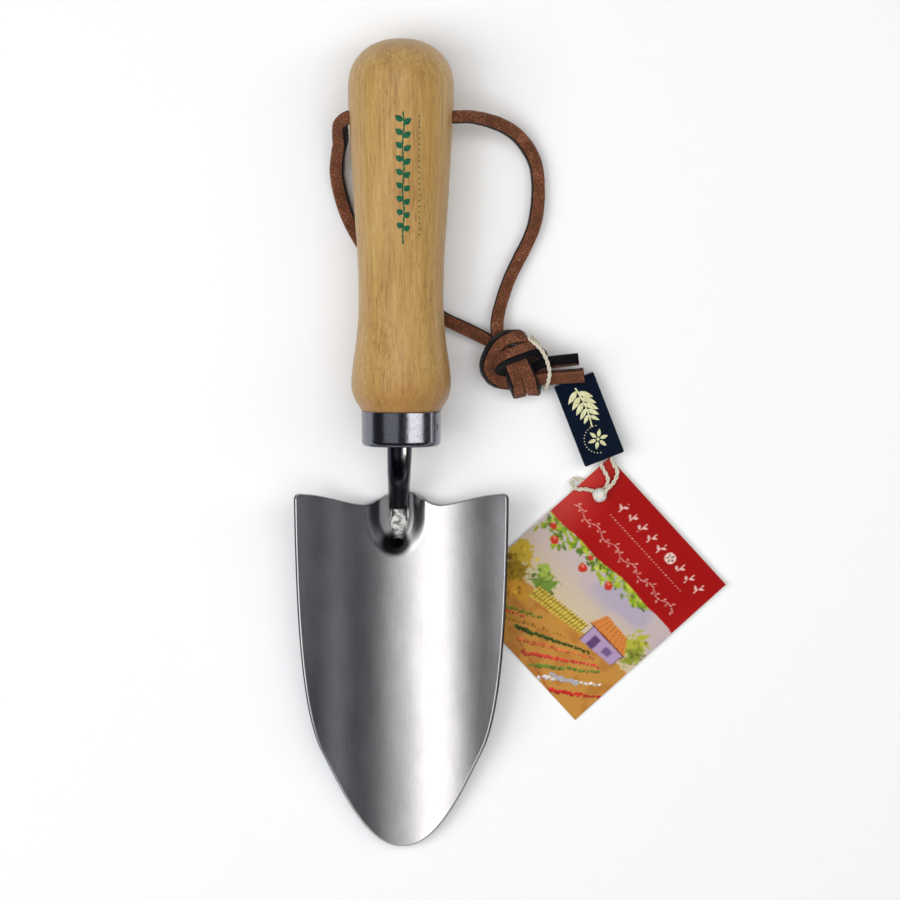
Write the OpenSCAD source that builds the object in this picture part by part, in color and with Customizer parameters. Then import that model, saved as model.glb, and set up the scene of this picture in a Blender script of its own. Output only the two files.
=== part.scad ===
// Hand transplanter: turned wooden handle, steel ferrule, cranked tang, pressed scoop blade,
// leather hanging thong with a knot, and a seal tag with a printed card on twisted string.
// The tool lies on its back with the scoop facing up: +Y points to the butt, +Z up, the
// floor is z = 0, and the origin is below the middle of the tool.

/* [Tool] */
// Overall length of the tool, butt to blade tip
tool_length = 252; // [246:1:260]
// Angle by which the handle rises from its butt to its ferrule
handle_tilt = 2; // [1.5:0.1:2.5]

/* [Handle] */
// Length of the visible wood
wood_length = 113.8; // [112:0.1:117]
// Largest radius, near the butt
butt_radius = 16.15; // [15.5:0.05:17]
// Length of the rounded butt end
dome_length = 15; // [13:0.5:17]
// Distance of the cross hole from the butt end
hole_distance = 24; // [22:0.5:28]
// Radius of the cross hole
hole_radius = 3; // [2.9:0.1:3.4]

/* [Ferrule] */
// Outer radius of the ferrule
ferrule_radius = 12.15; // [12:0.05:12.5]
// Length of the ferrule
ferrule_length = 10.8; // [10:0.1:12.5]
// Wall of the ferrule
ferrule_wall = 0.9; // [0.7:0.1:1.2]
// Radius of the rounded lower edge
ferrule_edge = 1.8; // [1:0.1:2]
// Radius of the locking pin
pin_radius = 0.9; // [0.7:0.1:1.1]
// Length of the locking pin
pin_length = 7; // [6:0.5:8]
// Angle of the locking pin round the ferrule, from the top
pin_angle = 65; // [40:5:80]

/* [Tang] */
// Radius of the tang rod
tang_radius = 4; // [3.8:0.1:4.2]
// Length of the tang inside the wood
tang_depth = 62; // [50:1:75]
// Straight run between the ferrule and the crank
crank_run = 2.9; // [1.5:0.1:4]
// Steepest slope of the crank
crank_angle = 50; // [45:1:55]
// Bend radius of the crank, at the rod's middle
crank_radius = 9; // [8:0.5:10]
// Slope of the bevel at the rod's end
bevel_angle = 39; // [35:1:45]

/* [Blade] */
// Sheet thickness
sheet = 1.3; // [1.1:0.1:1.5]
// Radius of the scoop across, outside
scoop_radius = 42.9; // [41:0.1:45]
// Radius of the back along the blade
back_radius = 450; // [420:10:500]
// Where the back touches the floor
belly_y = -70; // [-75:1:-65]
// Inner radius of the pressed channel
channel_radius = 5; // [4.8:0.1:5.2]
// Height of the channel's inner floor
channel_floor = 1.7; // [1.6:0.05:2]
// Where the round end of the channel has its middle
channel_end_y = -33; // [-35:0.5:-31]

/* [Thong] */
// Radius that stands for the leather lace
lace_radius = 2.15; // [2:0.05:2.4]
// Radius of the knot
knot_radius = 10.5; // [9.5:0.5:10.5]
// Height of the knot
knot_height = 10.8; // [9:0.1:11]

/* [Tag] */
// Radius of the twisted string
string_radius = 0.65; // [0.5:0.05:0.7]
// Width of the plastic seal
seal_width = 13.1; // [12.5:0.1:14]
// Length of the seal
seal_length = 26.7; // [26:0.1:27.5]
// Thickness of the seal
seal_thickness = 3.5; // [3.2:0.1:4]
// Radius of the seal's corners
seal_corner = 0.5; // [0.4:0.1:1.2]
// Width of the rim round the seal's sunk panel
seal_rim = 0.9; // [0.8:0.1:1.5]
// Depth of the sunk panel
seal_panel = 0.25; // [0.2:0.05:0.4]
// Radius of the locking plug inside the seal
plug_radius = 1.2; // [1:0.05:1.3]
// Length of the locking plug
plug_length = 8; // [6:0.5:10]
// Width of the card
card_width = 54.4; // [52:0.2:57]
// Length of the card
card_length = 64; // [61:0.2:67]
// Thickness of the card
card_thickness = 0.5; // [0.4:0.05:0.6]
// Angle by which the card leans up towards its string
card_lean = 1.4; // [1.3:0.05:1.5]
// Radius of the hole in the card
card_hole_radius = 2; // [1.8:0.1:2.5]
// Radius of the stopper bead on the string
bead_radius = 2.3; // [2.2:0.1:2.5]

/* [Hidden] */
fine = 96;
medium = 48;
coarse = 32;
gap = 0.05;
cut = 60;
butt_y = tool_length / 2;
tip_y = -tool_length / 2;
// Height of the handle's middle line at the butt, so that the butt's belly meets the floor
butt_z = 15.65 * butt_radius / 16.15;
steel_end = wood_length + ferrule_length;
spigot_radius = ferrule_radius - ferrule_wall - gap;
spigot_end = steel_end - ferrule_wall - gap;
pin_distance = wood_length + 0.42 * ferrule_length;
crank_start = steel_end + crank_run;
// How full the butt's rounding is: 2 would be half an ellipse
dome_fullness = 2.2;

// Handle radii as [distance from butt, radius]: waist, swelling and neck
HANDLE_KEYS = [
    [dome_length, butt_radius], [20, 16.1], [31, 15.55], [44, 14.8], [56, 14.05], [66, 13.3],
    [77, 13], [86, 13.2], [93, 13.85], [100, 14.85], [105, 15.3], [108.2, 14.95],
    [110.6, 14], [112.4, 12.85], [wood_length, ferrule_radius]
];

// Routes of the laces and strings, as middle points
THONG_RIGHT = [
    [13, 102, 16.5], [17.5, 102.1, 16.2], [21.5, 102.1, 14.6], [26.5, 101.1, 11.2],
    [31.6, 99.2, 7.6], [36, 96.2, 4.6], [39.5, 91.8, 3], [41.6, 87, 2.6], [42.3, 81, 2.6],
    [42.1, 74.7, 2.6], [41.1, 68.8, 2.6], [39, 63.4, 2.6], [36.2, 57.9, 2.6],
    [33.6, 52.5, 2.6], [31.6, 47, 2.8], [30.1, 42, 3.4], [29.4, 37.6, 4], [29.9, 33.2, 5.4]
];
THONG_LEFT = [
    [-13, 102, 16.5], [-16.2, 101.9, 16.2], [-18.4, 100.4, 14.4], [-18.7, 97.7, 11.6],
    [-18.7, 94.4, 9], [-19.3, 91.6, 6.9], [-19.8, 88.2, 5.1], [-19.9, 84.2, 3.8],
    [-19.2, 80, 3], [-18.1, 75.6, 2.6], [-16.6, 71.2, 2.6], [-14.4, 66.8, 2.6],
    [-11, 61.5, 2.6], [-5, 55, 2.6], [2, 48.8, 2.6], [8, 43.8, 2.6], [13.4, 39.7, 2.6],
    [18.4, 37.3, 2.7], [22.8, 35.2, 2.8], [25.6, 33.7, 2.6]
];
TAIL_UPPER = [
    [40.8, 24.8, 5.4], [43.5, 25.9, 7.2], [46, 26.6, 8.4], [49.1, 26.9, 8.6],
    [52.2, 27.2, 8.6], [54.8, 27.5, 8.6]
];
TAIL_LOWER = [
    [40.5, 21, 5.6], [43.2, 21.4, 7], [46, 21.7, 8.2], [49.4, 22, 8.6],
    [53.1, 22.2, 8.6], [56.5, 22.5, 8.6]
];
SEAL_STRING = [
    [45.4, 18.3, 4.2], [44.7, 18, 6.6], [45, 19.2, 9.5], [45.5, 21.3, 11.2],
    [45.8, 23.5, 11.4], [45.4, 25.7, 11.4], [44.6, 28, 11.4], [43.4, 30.2, 11.1],
    [41.6, 32.2, 10.8], [39.9, 33.6, 9.4], [39.7, 34.4, 7.2], [41.2, 33.4, 5.3],
    [43.6, 29.8, 4.4], [45.4, 25, 4.4], [45.8, 21.2, 4.2]
];
CARD_STRING = [
    [62.1, -5.6, 3.5], [63, -7.6, 3.5], [64.2, -9.8, 3.5], [64.1, -12, 3.2],
    [62.9, -13.6, 3], [61.2, -14.4, 3.2], [59.3, -14, 3.2], [57.1, -13.5, 3.1],
    [55.1, -13.6, 2.9], [53.6, -12.9, 2.5], [53, -11.7, 1.6], [53.9, -10.5, 0.8],
    [55.8, -10.8, 0.71], [57.4, -12.4, 0.71], [59.8, -14.6, 0.71], [61.2, -15.8, 1.3],
    [62.2, -15.8, 3.4], [63, -14.8, 4.8], [64.2, -13.2, 4.7], [65.5, -12, 4.4],
    [66.6, -10.4, 3.9], [67.2, -8.5, 3.6], [66.9, -6.9, 3.5], [66.1, -5.8, 3.5]
];
knot_middle = [34.3, 25.7, 0.2];
seal_pivot = [46.2, 18.6, 2.35];
seal_turn = -68.7;
// Distance of the seal's corner from its pivot, across and along
seal_corner_gap = [1.05, 0.5];
card_middle = [59.6, -45.2];
card_turn = -47.5;
card_low = 0.1;
bead_middle = [61.7, -15.3, 3.9];

function unit(v) = v / norm(v);
function bezier(a, b, c, d, steps = 12) = [
    for (i = [0:steps - 1])
    let (t = i / steps, s = 1 - t)
    s * s * s * a + 3 * s * s * t * b + 3 * s * t * t * c + t * t * t * d
];
function mirrored(points) = [for (i = [len(points) - 1:-1:0]) [-points[i][0], points[i][1]]];

// A smooth run of points through keys (Catmull-Rom)
function key(keys, i) = keys[max(0, min(len(keys) - 1, i))];
function smooth(keys, steps = 4) = concat(
    [
        for (i = [0:len(keys) - 2], k = [0:steps - 1])
        let (
            t = k / steps,
            a = key(keys, i - 1), b = key(keys, i), c = key(keys, i + 1), d = key(keys, i + 2)
        )
        ((2 * b) + (c - a) * t + (2 * a - 5 * b + 4 * c - d) * t * t
            + (3 * b - a - 3 * c + d) * t * t * t) / 2
    ],
    [keys[len(keys) - 1]]
);

// The directions of a route and a normal that is carried along it without twist
function directions(route) = [
    for (i = [0:len(route) - 1]) unit(key(route, i + 1) - key(route, i - 1))
];
function normals(dirs, seed, i = 0) = i == len(dirs) ? [] :
    let (n = unit(seed - (seed * dirs[i]) * dirs[i])) concat([n], normals(dirs, n, i + 1));

// A tube swept along a route
module tube(route, radius, sides = 8) {
    dirs = directions(route);
    norms = normals(dirs, [0.1, 0.2, 1]);
    last = len(route) - 1;
    points = [
        for (i = [0:last], k = [0:sides - 1])
        route[i] + radius * (cos(360 * k / sides) * norms[i]
            + sin(360 * k / sides) * cross(dirs[i], norms[i]))
    ];
    walls = [
        for (i = [0:last - 1], k = [0:sides - 1])
        let (a = i * sides + k, b = i * sides + (k + 1) % sides)
        each [[a, a + sides, b], [b, a + sides, b + sides]]
    ];
    first_end = [for (k = [0:sides - 1]) k];
    last_end = [for (k = [sides - 1:-1:0]) last * sides + k];
    polyhedron(points, concat(walls, [first_end, last_end]));
}

// The handle's own frame: +Z runs from the butt to the ferrule, +Y is the handle's top
module on_handle(distance = 0) {
    translate([0, butt_y, butt_z]) rotate([90 - handle_tilt, 0, 0]) translate([0, 0, distance])
        children();
}

// Butt: a rounded end, a little fuller than a half ellipse
function butt_arc(steps = 14) = [
    for (i = [0:steps - 1])
    let (u = i / steps, s = dome_length * u * u)
    [s, butt_radius * pow(1 - pow(1 - s / dome_length, dome_fullness), 1 / dome_fullness)]
];

module handle() {
    side = concat(butt_arc(), smooth(HANDLE_KEYS));
    outline = concat(
        [for (p = side) [p[1], p[0]]],
        [[spigot_radius, wood_length], [spigot_radius, spigot_end], [0, spigot_end]]
    );
    color("burlywood") difference() {
        on_handle() rotate_extrude($fn = fine) polygon(outline);
        on_handle(steel_end - tang_depth)
            cylinder(r = tang_radius + gap, h = tang_depth, $fn = fine);
        on_handle(steel_end - tang_depth - tang_point - 1)
            cylinder(r1 = tang_point_radius - 0.1, r2 = tang_radius + gap, h = tang_point + 1, $fn = fine);
        on_handle(hole_distance) rotate([0, 90, 0])
            cylinder(r = hole_radius, h = cut, center = true, $fn = fine);
        pin_place() cylinder(r = pin_radius, h = pin_length + 1, $fn = coarse);
    }
}

// Ferrule: a drawn steel cup with a rounded lower edge and a hole for the tang
module ferrule() {
    inside = ferrule_radius - ferrule_wall;
    edge_r = ferrule_radius - ferrule_edge;
    edge_s = steel_end - ferrule_edge;
    outline = concat(
        [[inside, wood_length + gap], [ferrule_radius, wood_length + gap]],
        [for (a = [0:15:90]) [edge_r + ferrule_edge * cos(a), edge_s + ferrule_edge * sin(a)]],
        [[tang_radius + gap, steel_end], [tang_radius + gap, steel_end - ferrule_wall],
            [inside, steel_end - ferrule_wall]]
    );
    color("silver") difference() {
        on_handle() rotate_extrude($fn = fine) polygon(outline);
        pin_place() cylinder(r = pin_radius, h = pin_length + 1, $fn = coarse);
    }
}

// Locking pin: a small nail driven through the ferrule into the wood
module pin_place() {
    on_handle(pin_distance) rotate([0, 0, -pin_angle]) rotate([-90, 0, 0])
        translate([0, 0, ferrule_radius - pin_length]) children();
}
module ferrule_pin() {
    color("dimgray") pin_place()
        cylinder(r = pin_radius - gap / 2, h = pin_length - 2 * gap, $fn = coarse);
}

// Tang: places of the crank in the plane x = 0, as [y, z], worked out bend by bend
function heading(a) = [-cos(a), sin(a)];
function below(a) = [-sin(a), -cos(a)];
crank_in = [butt_y - crank_start * cos(handle_tilt), butt_z + crank_start * sin(handle_tilt)];
rod_z = channel_floor + tang_radius + gap;
bend_1 = crank_in + crank_radius * below(handle_tilt);
slope_in = bend_1 - crank_radius * below(-crank_angle);
slope_drop = slope_in[1] - rod_z - crank_radius * (1 - cos(crank_angle));
slope_length = slope_drop / sin(crank_angle);
slope_out = slope_in + slope_length * heading(-crank_angle);
bend_2 = slope_out - crank_radius * below(-crank_angle);
rod_end = -29.5;
bevel_top = [-19, 10.4];
// The tang's pointed inner end
tang_point = 5;
tang_point_radius = 1.6;

// The straight runs are a hair thinner than the bends and reach a little into them
rod_radius = tang_radius - 0.03;
reach = 0.4;

module in_side_plane(at) { translate([0, at[0], at[1]]) rotate([90, 0, 90]) children(); }
module bend(at, from, turn) {
    in_side_plane(at) rotate([0, 0, from]) rotate_extrude(angle = turn, $fn = fine)
        translate([crank_radius, 0]) circle(r = tang_radius, $fn = medium);
}
module tang_rod() {
    on_handle(steel_end - tang_depth)
        cylinder(r = rod_radius, h = tang_depth + crank_run + reach, $fn = medium);
    on_handle(steel_end - tang_depth - tang_point)
        cylinder(r1 = tang_point_radius, r2 = rod_radius, h = tang_point, $fn = medium);
    bend(bend_1, 90 - handle_tilt, crank_angle + handle_tilt);
    in_side_plane(slope_in) rotate([0, 0, 180 + crank_angle]) rotate([0, 90, 0])
        translate([0, 0, -reach])
            cylinder(r = rod_radius, h = slope_length + 2 * reach, $fn = medium);
    bend(bend_2, -90, crank_angle);
    translate([0, bend_2[0] + reach, rod_z]) rotate([90, 0, 0])
        cylinder(r = rod_radius, h = bend_2[0] - rod_end + reach, $fn = medium);
}
module bevel_cut() {
    translate([0, bevel_top[0], bevel_top[1]]) rotate([bevel_angle, 0, 0])
        translate([-10, -30, 0]) cube([20, 31, 20]);
}
module tang() {
    color("darkgray") difference() {
        tang_rod();
        bevel_cut();
    }
}

// Weld: the fillets that fill the channel beside the end of the rod
weld_top = 4.4;
weld_from = -22;
weld_to = -31.5;
weld_slope = 35;
weld_low = 3.2;
module tang_weld() {
    color("gray") difference() {
        intersection() {
            channel_bar(channel_radius - gap, weld_from, weld_to);
            translate([-10, -40, 0]) cube([20, 30, weld_top]);
        }
        translate([0, -10, rod_z]) rotate([90, 0, 0])
            cylinder(r = tang_radius + 0.02, h = -10 - rod_end, $fn = medium);
        translate([0, rod_end, 0]) rotate([-weld_slope, 0, 0]) translate([-10, -20, weld_low])
            cube([20, 24, 10]);
    }
}
module channel_bar(radius, from_y, to_y) {
    translate([0, from_y, channel_floor + channel_radius]) rotate([90, 0, 0])
        cylinder(r = radius, h = from_y - to_y, $fn = fine);
}

// Blade: a dished shell cut to a pointed shield, with a channel pressed in for the tang
module dish(radius) {
    span = 18;
    in_side_plane([belly_y, back_radius]) rotate([0, 0, -90 - span / 2])
        rotate_extrude(angle = span, $fn = 720) translate([back_radius - scoop_radius, 0])
            intersection() {
                circle(r = radius, $fn = 180);
                translate([0, -cut]) square([cut, 2 * cut]);
            }
}
module channel_capsule(radius) {
    channel_bar(radius, 0, channel_end_y);
    translate([0, channel_end_y, channel_floor + channel_radius]) sphere(r = radius, $fn = fine);
}
shoulder = [33.2, -15];
flank = [25.3, -95];
half_outline = concat(
    bezier([0, -15], [6, -15], [8, -18.4], [12, -18.2], 6),
    bezier([12, -18.2], [17, -18], [24, -14.5], [32, -13.5], 8),
    bezier([32, -13.5], [32.8, -13.4], [33.2, -13.8], shoulder, 4),
    bezier(shoulder, [32.9, -42], [32.3, -80], flank, 16),
    bezier(flank, [18.8, -108.6], [11.3, tip_y], [0, tip_y], 14)
);
other_half = mirrored([for (i = [1:len(half_outline) - 1]) half_outline[i]]);
module blade() {
    color("gainsboro") intersection() {
        difference() {
            union() {
                dish(scoop_radius);
                channel_capsule(channel_radius + sheet);
            }
            dish(scoop_radius - sheet);
            channel_capsule(channel_radius);
        }
        linear_extrude(height = cut) polygon(concat(half_outline, [[0, tip_y]], other_half));
    }
}

// Thong: one leather lace through the cross hole, both ends tied in an overhand knot
module thong_core() {
    color("saddlebrown") translate([0, THONG_RIGHT[0][1], THONG_RIGHT[0][2]]) rotate([0, 90, 0])
        cylinder(r = lace_radius, h = 2 * THONG_RIGHT[0][0], center = true, $fn = coarse);
}
module thong_right() { color("saddlebrown") tube(THONG_RIGHT, lace_radius); }
module thong_left() { color("saddlebrown") tube(THONG_LEFT, lace_radius); }
module thong_tail_upper() { color("saddlebrown") tube(TAIL_UPPER, lace_radius); }
module thong_tail_lower() { color("saddlebrown") tube(TAIL_LOWER, lace_radius); }
module thong_knot() {
    round = knot_height * 0.4;
    middle = knot_radius - round;
    upper = knot_height - round;
    color("sienna") translate(knot_middle) rotate_extrude($fn = medium) polygon(concat(
        [[0, 0]],
        [for (a = [-90:15:0]) [middle + round * cos(a), round + round * sin(a)]],
        [for (a = [0:15:90]) [middle + round * cos(a), upper + round * sin(a)]],
        [[0, knot_height]]
    ));
}

// Seal tag: a plastic body that holds the string ends with a plug, and hangs on its string
module seal_string() { color("ivory") tube(SEAL_STRING, string_radius); }
module on_seal() {
    translate(seal_pivot) rotate([0, 0, seal_turn + 90])
        translate([seal_corner_gap[0], -seal_corner_gap[1], 0]) mirror([0, 1, 0]) children();
}
module rounded_plate(width, length, thickness, radius) {
    linear_extrude(height = thickness) union() {
        translate([radius, 0]) square([width - 2 * radius, length]);
        translate([0, radius]) square([width, length - 2 * radius]);
        for (x = [radius, width - radius], y = [radius, length - radius])
            translate([x, y]) circle(r = radius, $fn = coarse);
    }
}
module plug_place() {
    on_seal() translate([seal_width / 2, seal_length - plug_length, seal_thickness / 2])
        rotate([-90, 0, 0]) children();
}
module seal_body() {
    color("midnightblue") difference() {
        on_seal() rounded_plate(seal_width, seal_length, seal_thickness, seal_corner);
        on_seal() translate([seal_rim, seal_rim, seal_thickness - seal_panel])
            cube([seal_width - 2 * seal_rim, seal_length - 2 * seal_rim, 1]);
        plug_place() cylinder(r = plug_radius, h = plug_length + 1, $fn = coarse);
    }
}
module seal_plug() {
    color("black") plug_place()
        cylinder(r = plug_radius - gap / 2, h = plug_length - 2 * gap, $fn = coarse);
}

// Card: leans up a little where the string passes under it
module on_card() {
    translate([card_middle[0], card_middle[1], card_low]) rotate([0, 0, card_turn])
        translate([0, -card_length / 2, 0]) rotate([card_lean, 0, 0])
            translate([-card_width / 2, 0, 0]) children();
}
module card() {
    color("indianred") difference() {
        on_card() cube([card_width, card_length, card_thickness]);
        translate([bead_middle[0], bead_middle[1], 0])
            cylinder(r = card_hole_radius, h = 10, center = true, $fn = coarse);
    }
}
module card_string() { color("ivory") tube(CARD_STRING, string_radius); }
module string_bead() { color("linen") translate(bead_middle) sphere(r = bead_radius, $fn = medium); }

handle();
ferrule();
ferrule_pin();
tang();
tang_weld();
blade();
thong_core();
thong_right();
thong_left();
thong_knot();
thong_tail_upper();
thong_tail_lower();
seal_string();
seal_body();
seal_plug();
card();
card_string();
string_bead();
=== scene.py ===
"""Looks for the hand transplanter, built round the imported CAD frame. Metres, +Z up, +Y towards the butt."""

import math

import bmesh
import bpy
import numpy as np
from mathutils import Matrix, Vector


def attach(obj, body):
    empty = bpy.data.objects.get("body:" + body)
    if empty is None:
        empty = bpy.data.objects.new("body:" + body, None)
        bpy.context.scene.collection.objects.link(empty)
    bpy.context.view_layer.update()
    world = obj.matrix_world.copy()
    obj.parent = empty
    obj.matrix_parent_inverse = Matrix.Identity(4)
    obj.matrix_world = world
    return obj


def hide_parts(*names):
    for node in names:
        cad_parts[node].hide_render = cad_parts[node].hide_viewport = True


MM = 0.001


# ---------------------------------------------------------------- meshes


def mesh_piece(name, points, faces):
    """A new smooth mesh object from points in metres and faces."""
    mesh = bpy.data.meshes.new(name)
    mesh.from_pydata([tuple(p) for p in points], [], [tuple(f) for f in faces])
    mesh.polygons.foreach_set("use_smooth", [True] * len(mesh.polygons))
    mesh.update()
    piece = bpy.data.objects.new(name, mesh)
    bpy.context.collection.objects.link(piece)
    return piece


def grid_faces(rows, columns, first=0, closed=True):
    """Quads between successive rows of a grid of points, joined round when closed."""
    last = columns if closed else columns - 1
    faces = []
    for row in range(rows - 1):
        for column in range(last):
            a = first + row * columns + column
            b = first + row * columns + (column + 1) % columns
            faces.append((a, b, b + columns, a + columns))
    return faces


def tube_faces(rows, columns, first=0):
    """A closed tube's faces: quads between its rings of points and a cap on each end."""
    last = first + (rows - 1) * columns
    caps = [tuple(range(first + columns - 1, first - 1, -1)), tuple(range(last, last + columns))]
    return grid_faces(rows, columns, first) + caps


def border_of(grid):
    """The indices that run once round the border of a grid."""
    return [*grid[0, :], *grid[1:, -1], *grid[-1, -2::-1], *grid[-2:0:-1, 0]]


def ring_faces(rings):
    """Quads between successive rings of point indices."""
    faces = []
    for a, b in zip(rings, rings[1:]):
        faces += [(a[k - 1], a[k], b[k], b[k - 1]) for k in range(len(a))]
    return faces


def unit(vectors):
    """The vectors with length one."""
    return vectors / np.linalg.norm(vectors, axis=-1, keepdims=True)


def turned(degrees):
    """The direction at that angle."""
    return np.array([math.cos(math.radians(degrees)), math.sin(math.radians(degrees))])


def smooth(value, low, high):
    """0 below low, 1 above high and smooth between."""
    t = np.clip((value - low) / (high - low), 0, 1)
    return t * t * (3 - 2 * t)


def run_along(points):
    """The length run at each point of a line."""
    return np.concatenate([[0], np.cumsum(np.linalg.norm(np.diff(points, axis=0), axis=1))])


def smooth_route(points, step):
    """A Catmull-Rom curve through the points, resampled at equal steps."""
    p = np.array(points, float)
    p = np.vstack([2 * p[0] - p[1], p, 2 * p[-1] - p[-2]])
    t = np.linspace(0, 1, 24, endpoint=False)[:, None]
    parts = []
    for a, b, c, d in zip(p, p[1:], p[2:], p[3:]):
        square, cube = 2 * a - 5 * b + 4 * c - d, 3 * b - a - 3 * c + d
        parts.append(0.5 * (2 * b + (c - a) * t + square * t**2 + cube * t**3))
    curve = np.vstack(parts + [p[-2:-1]])
    run = run_along(curve)
    at = np.linspace(0, run[-1], int(round(run[-1] / step)) + 1)
    return np.column_stack([np.interp(at, run, curve[:, k]) for k in range(3)])


def carried_frames(path, up):
    """Side and top directions along a path, turned as little as possible from up."""
    tangent = unit(np.gradient(path, axis=0))
    tops = []
    top = np.array(up, float)
    for t in tangent:
        top = unit(top - t * (top @ t))
        tops.append(top)
    tops = np.array(tops)
    return np.cross(tops, tangent), tops


def twisted(side, top, angles):
    """The side and top directions turned about the path by angles in radians."""
    c, s = np.cos(angles)[:, None], np.sin(angles)[:, None]
    return side * c + top * s, top * c - side * s


def rounded_section(width, height, corner, arc=4):
    """Points round a rectangle with round corners, anticlockwise from the lower right corner."""
    points = []
    for k, signs in enumerate([(1, -1), (1, 1), (-1, 1), (-1, -1)]):
        middle = np.array(signs) * (width / 2 - corner, height / 2 - corner)
        for j in range(arc + 1):
            angle = math.radians(-90 + 90 * k + 90 * j / arc)
            points.append(middle + corner * np.array([math.cos(angle), math.sin(angle)]))
    return np.array(points)


def swept(name, path, section, side, top, scale):
    """A closed mesh that sweeps a section along a path, grown by scale at each ring."""
    across, up = section[None, :, :1], section[None, :, 1:]
    rings = across * side[:, None] + up * top[:, None]
    points = path[:, None] + np.reshape(scale, (-1, 1, 1)) * rings
    return mesh_piece(name, points.reshape(-1, 3), tube_faces(len(path), len(section)))


def mark(piece, name, values):
    """Stores a value at each point of a mesh, for its material."""
    layer = piece.data.attributes.new(name, "FLOAT", "POINT")
    layer.data.foreach_set("value", np.asarray(values, np.float32))


def fix_normals(piece):
    """Points a closed mesh's faces outwards."""
    mesh = bmesh.new()
    mesh.from_mesh(piece.data)
    bmesh.ops.recalc_face_normals(mesh, faces=mesh.faces)
    mesh.to_mesh(piece.data)
    mesh.free()


def cut_by(piece, cutter):
    """Subtracts the cutter from a piece and removes the cutter."""
    modifier = piece.modifiers.new("cut", "BOOLEAN")
    modifier.operation = "DIFFERENCE"
    modifier.solver = "EXACT"
    modifier.object = cutter
    bpy.context.view_layer.objects.active = piece
    bpy.ops.object.modifier_apply(modifier="cut")
    bpy.data.objects.remove(cutter, do_unlink=True)


def dress(piece, material, body, slot, *nodes):
    """Gives a piece its material, the body that it rides on and the CAD nodes that it replaces."""
    piece.data.materials.append(material)
    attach(piece, body)
    if nodes:
        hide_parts(*nodes)


def repaint(node, material):
    """Gives a CAD node that stays in view its material."""
    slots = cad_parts[node].data.materials
    slots.clear()
    slots.append(material)


# ---------------------------------------------------------------- shaders


def srgb(r, g, b):
    """A colour given as 0 to 255 values, as the linear colour that shaders use."""
    linear = [(c / 255 / 12.92) if c <= 10 else ((c / 255 + 0.055) / 1.055) ** 2.4 for c in (r, g, b)]
    return (*linear, 1.0)


class Look:
    """A material's node tree, with short calls for the nodes that the materials below use."""

    def __init__(self, name, **sockets):
        self.material = bpy.data.materials.new(name)
        self.material.use_nodes = True
        self.tree = self.material.node_tree
        self.shader = self.tree.nodes["Principled BSDF"]
        self.place = self.tree.nodes.new("ShaderNodeTexCoord").outputs["Object"]
        for key, value in sockets.items():
            self.set(key.replace("_", " "), value)

    def set(self, socket, value):
        """Sets or links one of the shader's sockets."""
        self._give(self.shader.inputs[socket], value)

    def _give(self, socket, value):
        if isinstance(value, bpy.types.NodeSocket):
            self.tree.links.new(value, socket)
        else:
            socket.default_value = value

    def add(self, kind, inputs, **settings):
        """A node of that kind, with its settings and inputs."""
        node = self.tree.nodes.new("ShaderNode" + kind)
        for key, value in settings.items():
            setattr(node, key, value)
        for key, value in inputs.items():
            self._give(node.inputs[key], value)
        return node

    def stretched(self, x, y, z):
        """The piece's own coordinates, scaled on each axis."""
        return self.add("Mapping", {"Vector": self.place, "Scale": (x, y, z)}).outputs["Vector"]

    def noise(self, size, detail=3.0, roughness=0.55, where=None, lift=0.0):
        """Noise with features of that size in metres, 0 to 1."""
        inputs = {"Vector": self.place if where is None else where, "Scale": 1 / size, "Detail": detail}
        inputs.update({"Roughness": roughness, "Distortion": lift})
        return self.add("TexNoise", inputs).outputs["Fac"]

    def ramp(self, factor, *stops):
        """A colour ramp through (position, colour) stops, with colours 0 to 255."""
        node = self.add("ValToRGB", {"Fac": factor})
        elements = node.color_ramp.elements
        while len(elements) < len(stops):
            elements.new(0.5)
        for element, (position, colour) in zip(elements, stops):
            element.position = position
            element.color = srgb(*colour)
        return node.outputs["Color"]

    def step(self, factor, low, high):
        """0 below low, 1 above high and smooth between."""
        inputs = {"Value": factor, "From Min": low, "From Max": high}
        return self.add("MapRange", inputs, interpolation_type="SMOOTHSTEP").outputs["Result"]

    def between(self, factor, low, high):
        """The factor 0 to 1, spread from low to high."""
        return self.add("MapRange", {"Value": factor, "To Min": low, "To Max": high}).outputs["Result"]

    def math(self, operation, a, b):
        """Arithmetic on two values."""
        node = self.add("Math", {}, operation=operation)
        self._give(node.inputs[0], a)
        self._give(node.inputs[1], b)
        return node.outputs[0]

    def total(self, *shares):
        """The sum of (value, share) pairs."""
        terms = [value if share == 1 else self.math("MULTIPLY", value, share) for value, share in shares]
        result = terms[0]
        for term in terms[1:]:
            result = self.math("ADD", result, term)
        return result

    def mix(self, factor, a, b, how="MIX"):
        """Two colours mixed by a factor."""
        node = self.add("Mix", {}, data_type="RGBA", blend_type=how)
        for index, value in ((0, factor), (6, a), (7, b)):
            self._give(node.inputs[index], value)
        return node.outputs[2]

    def attribute(self, name):
        """A value that the mesh carries at its points."""
        return self.add("Attribute", {}, attribute_name=name).outputs["Fac"]

    def bump(self, height, depth, strength=1.0):
        """Relief of that depth in metres."""
        inputs = {"Height": height, "Distance": depth, "Strength": strength}
        self.set("Normal", self.add("Bump", inputs).outputs["Normal"])


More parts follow.
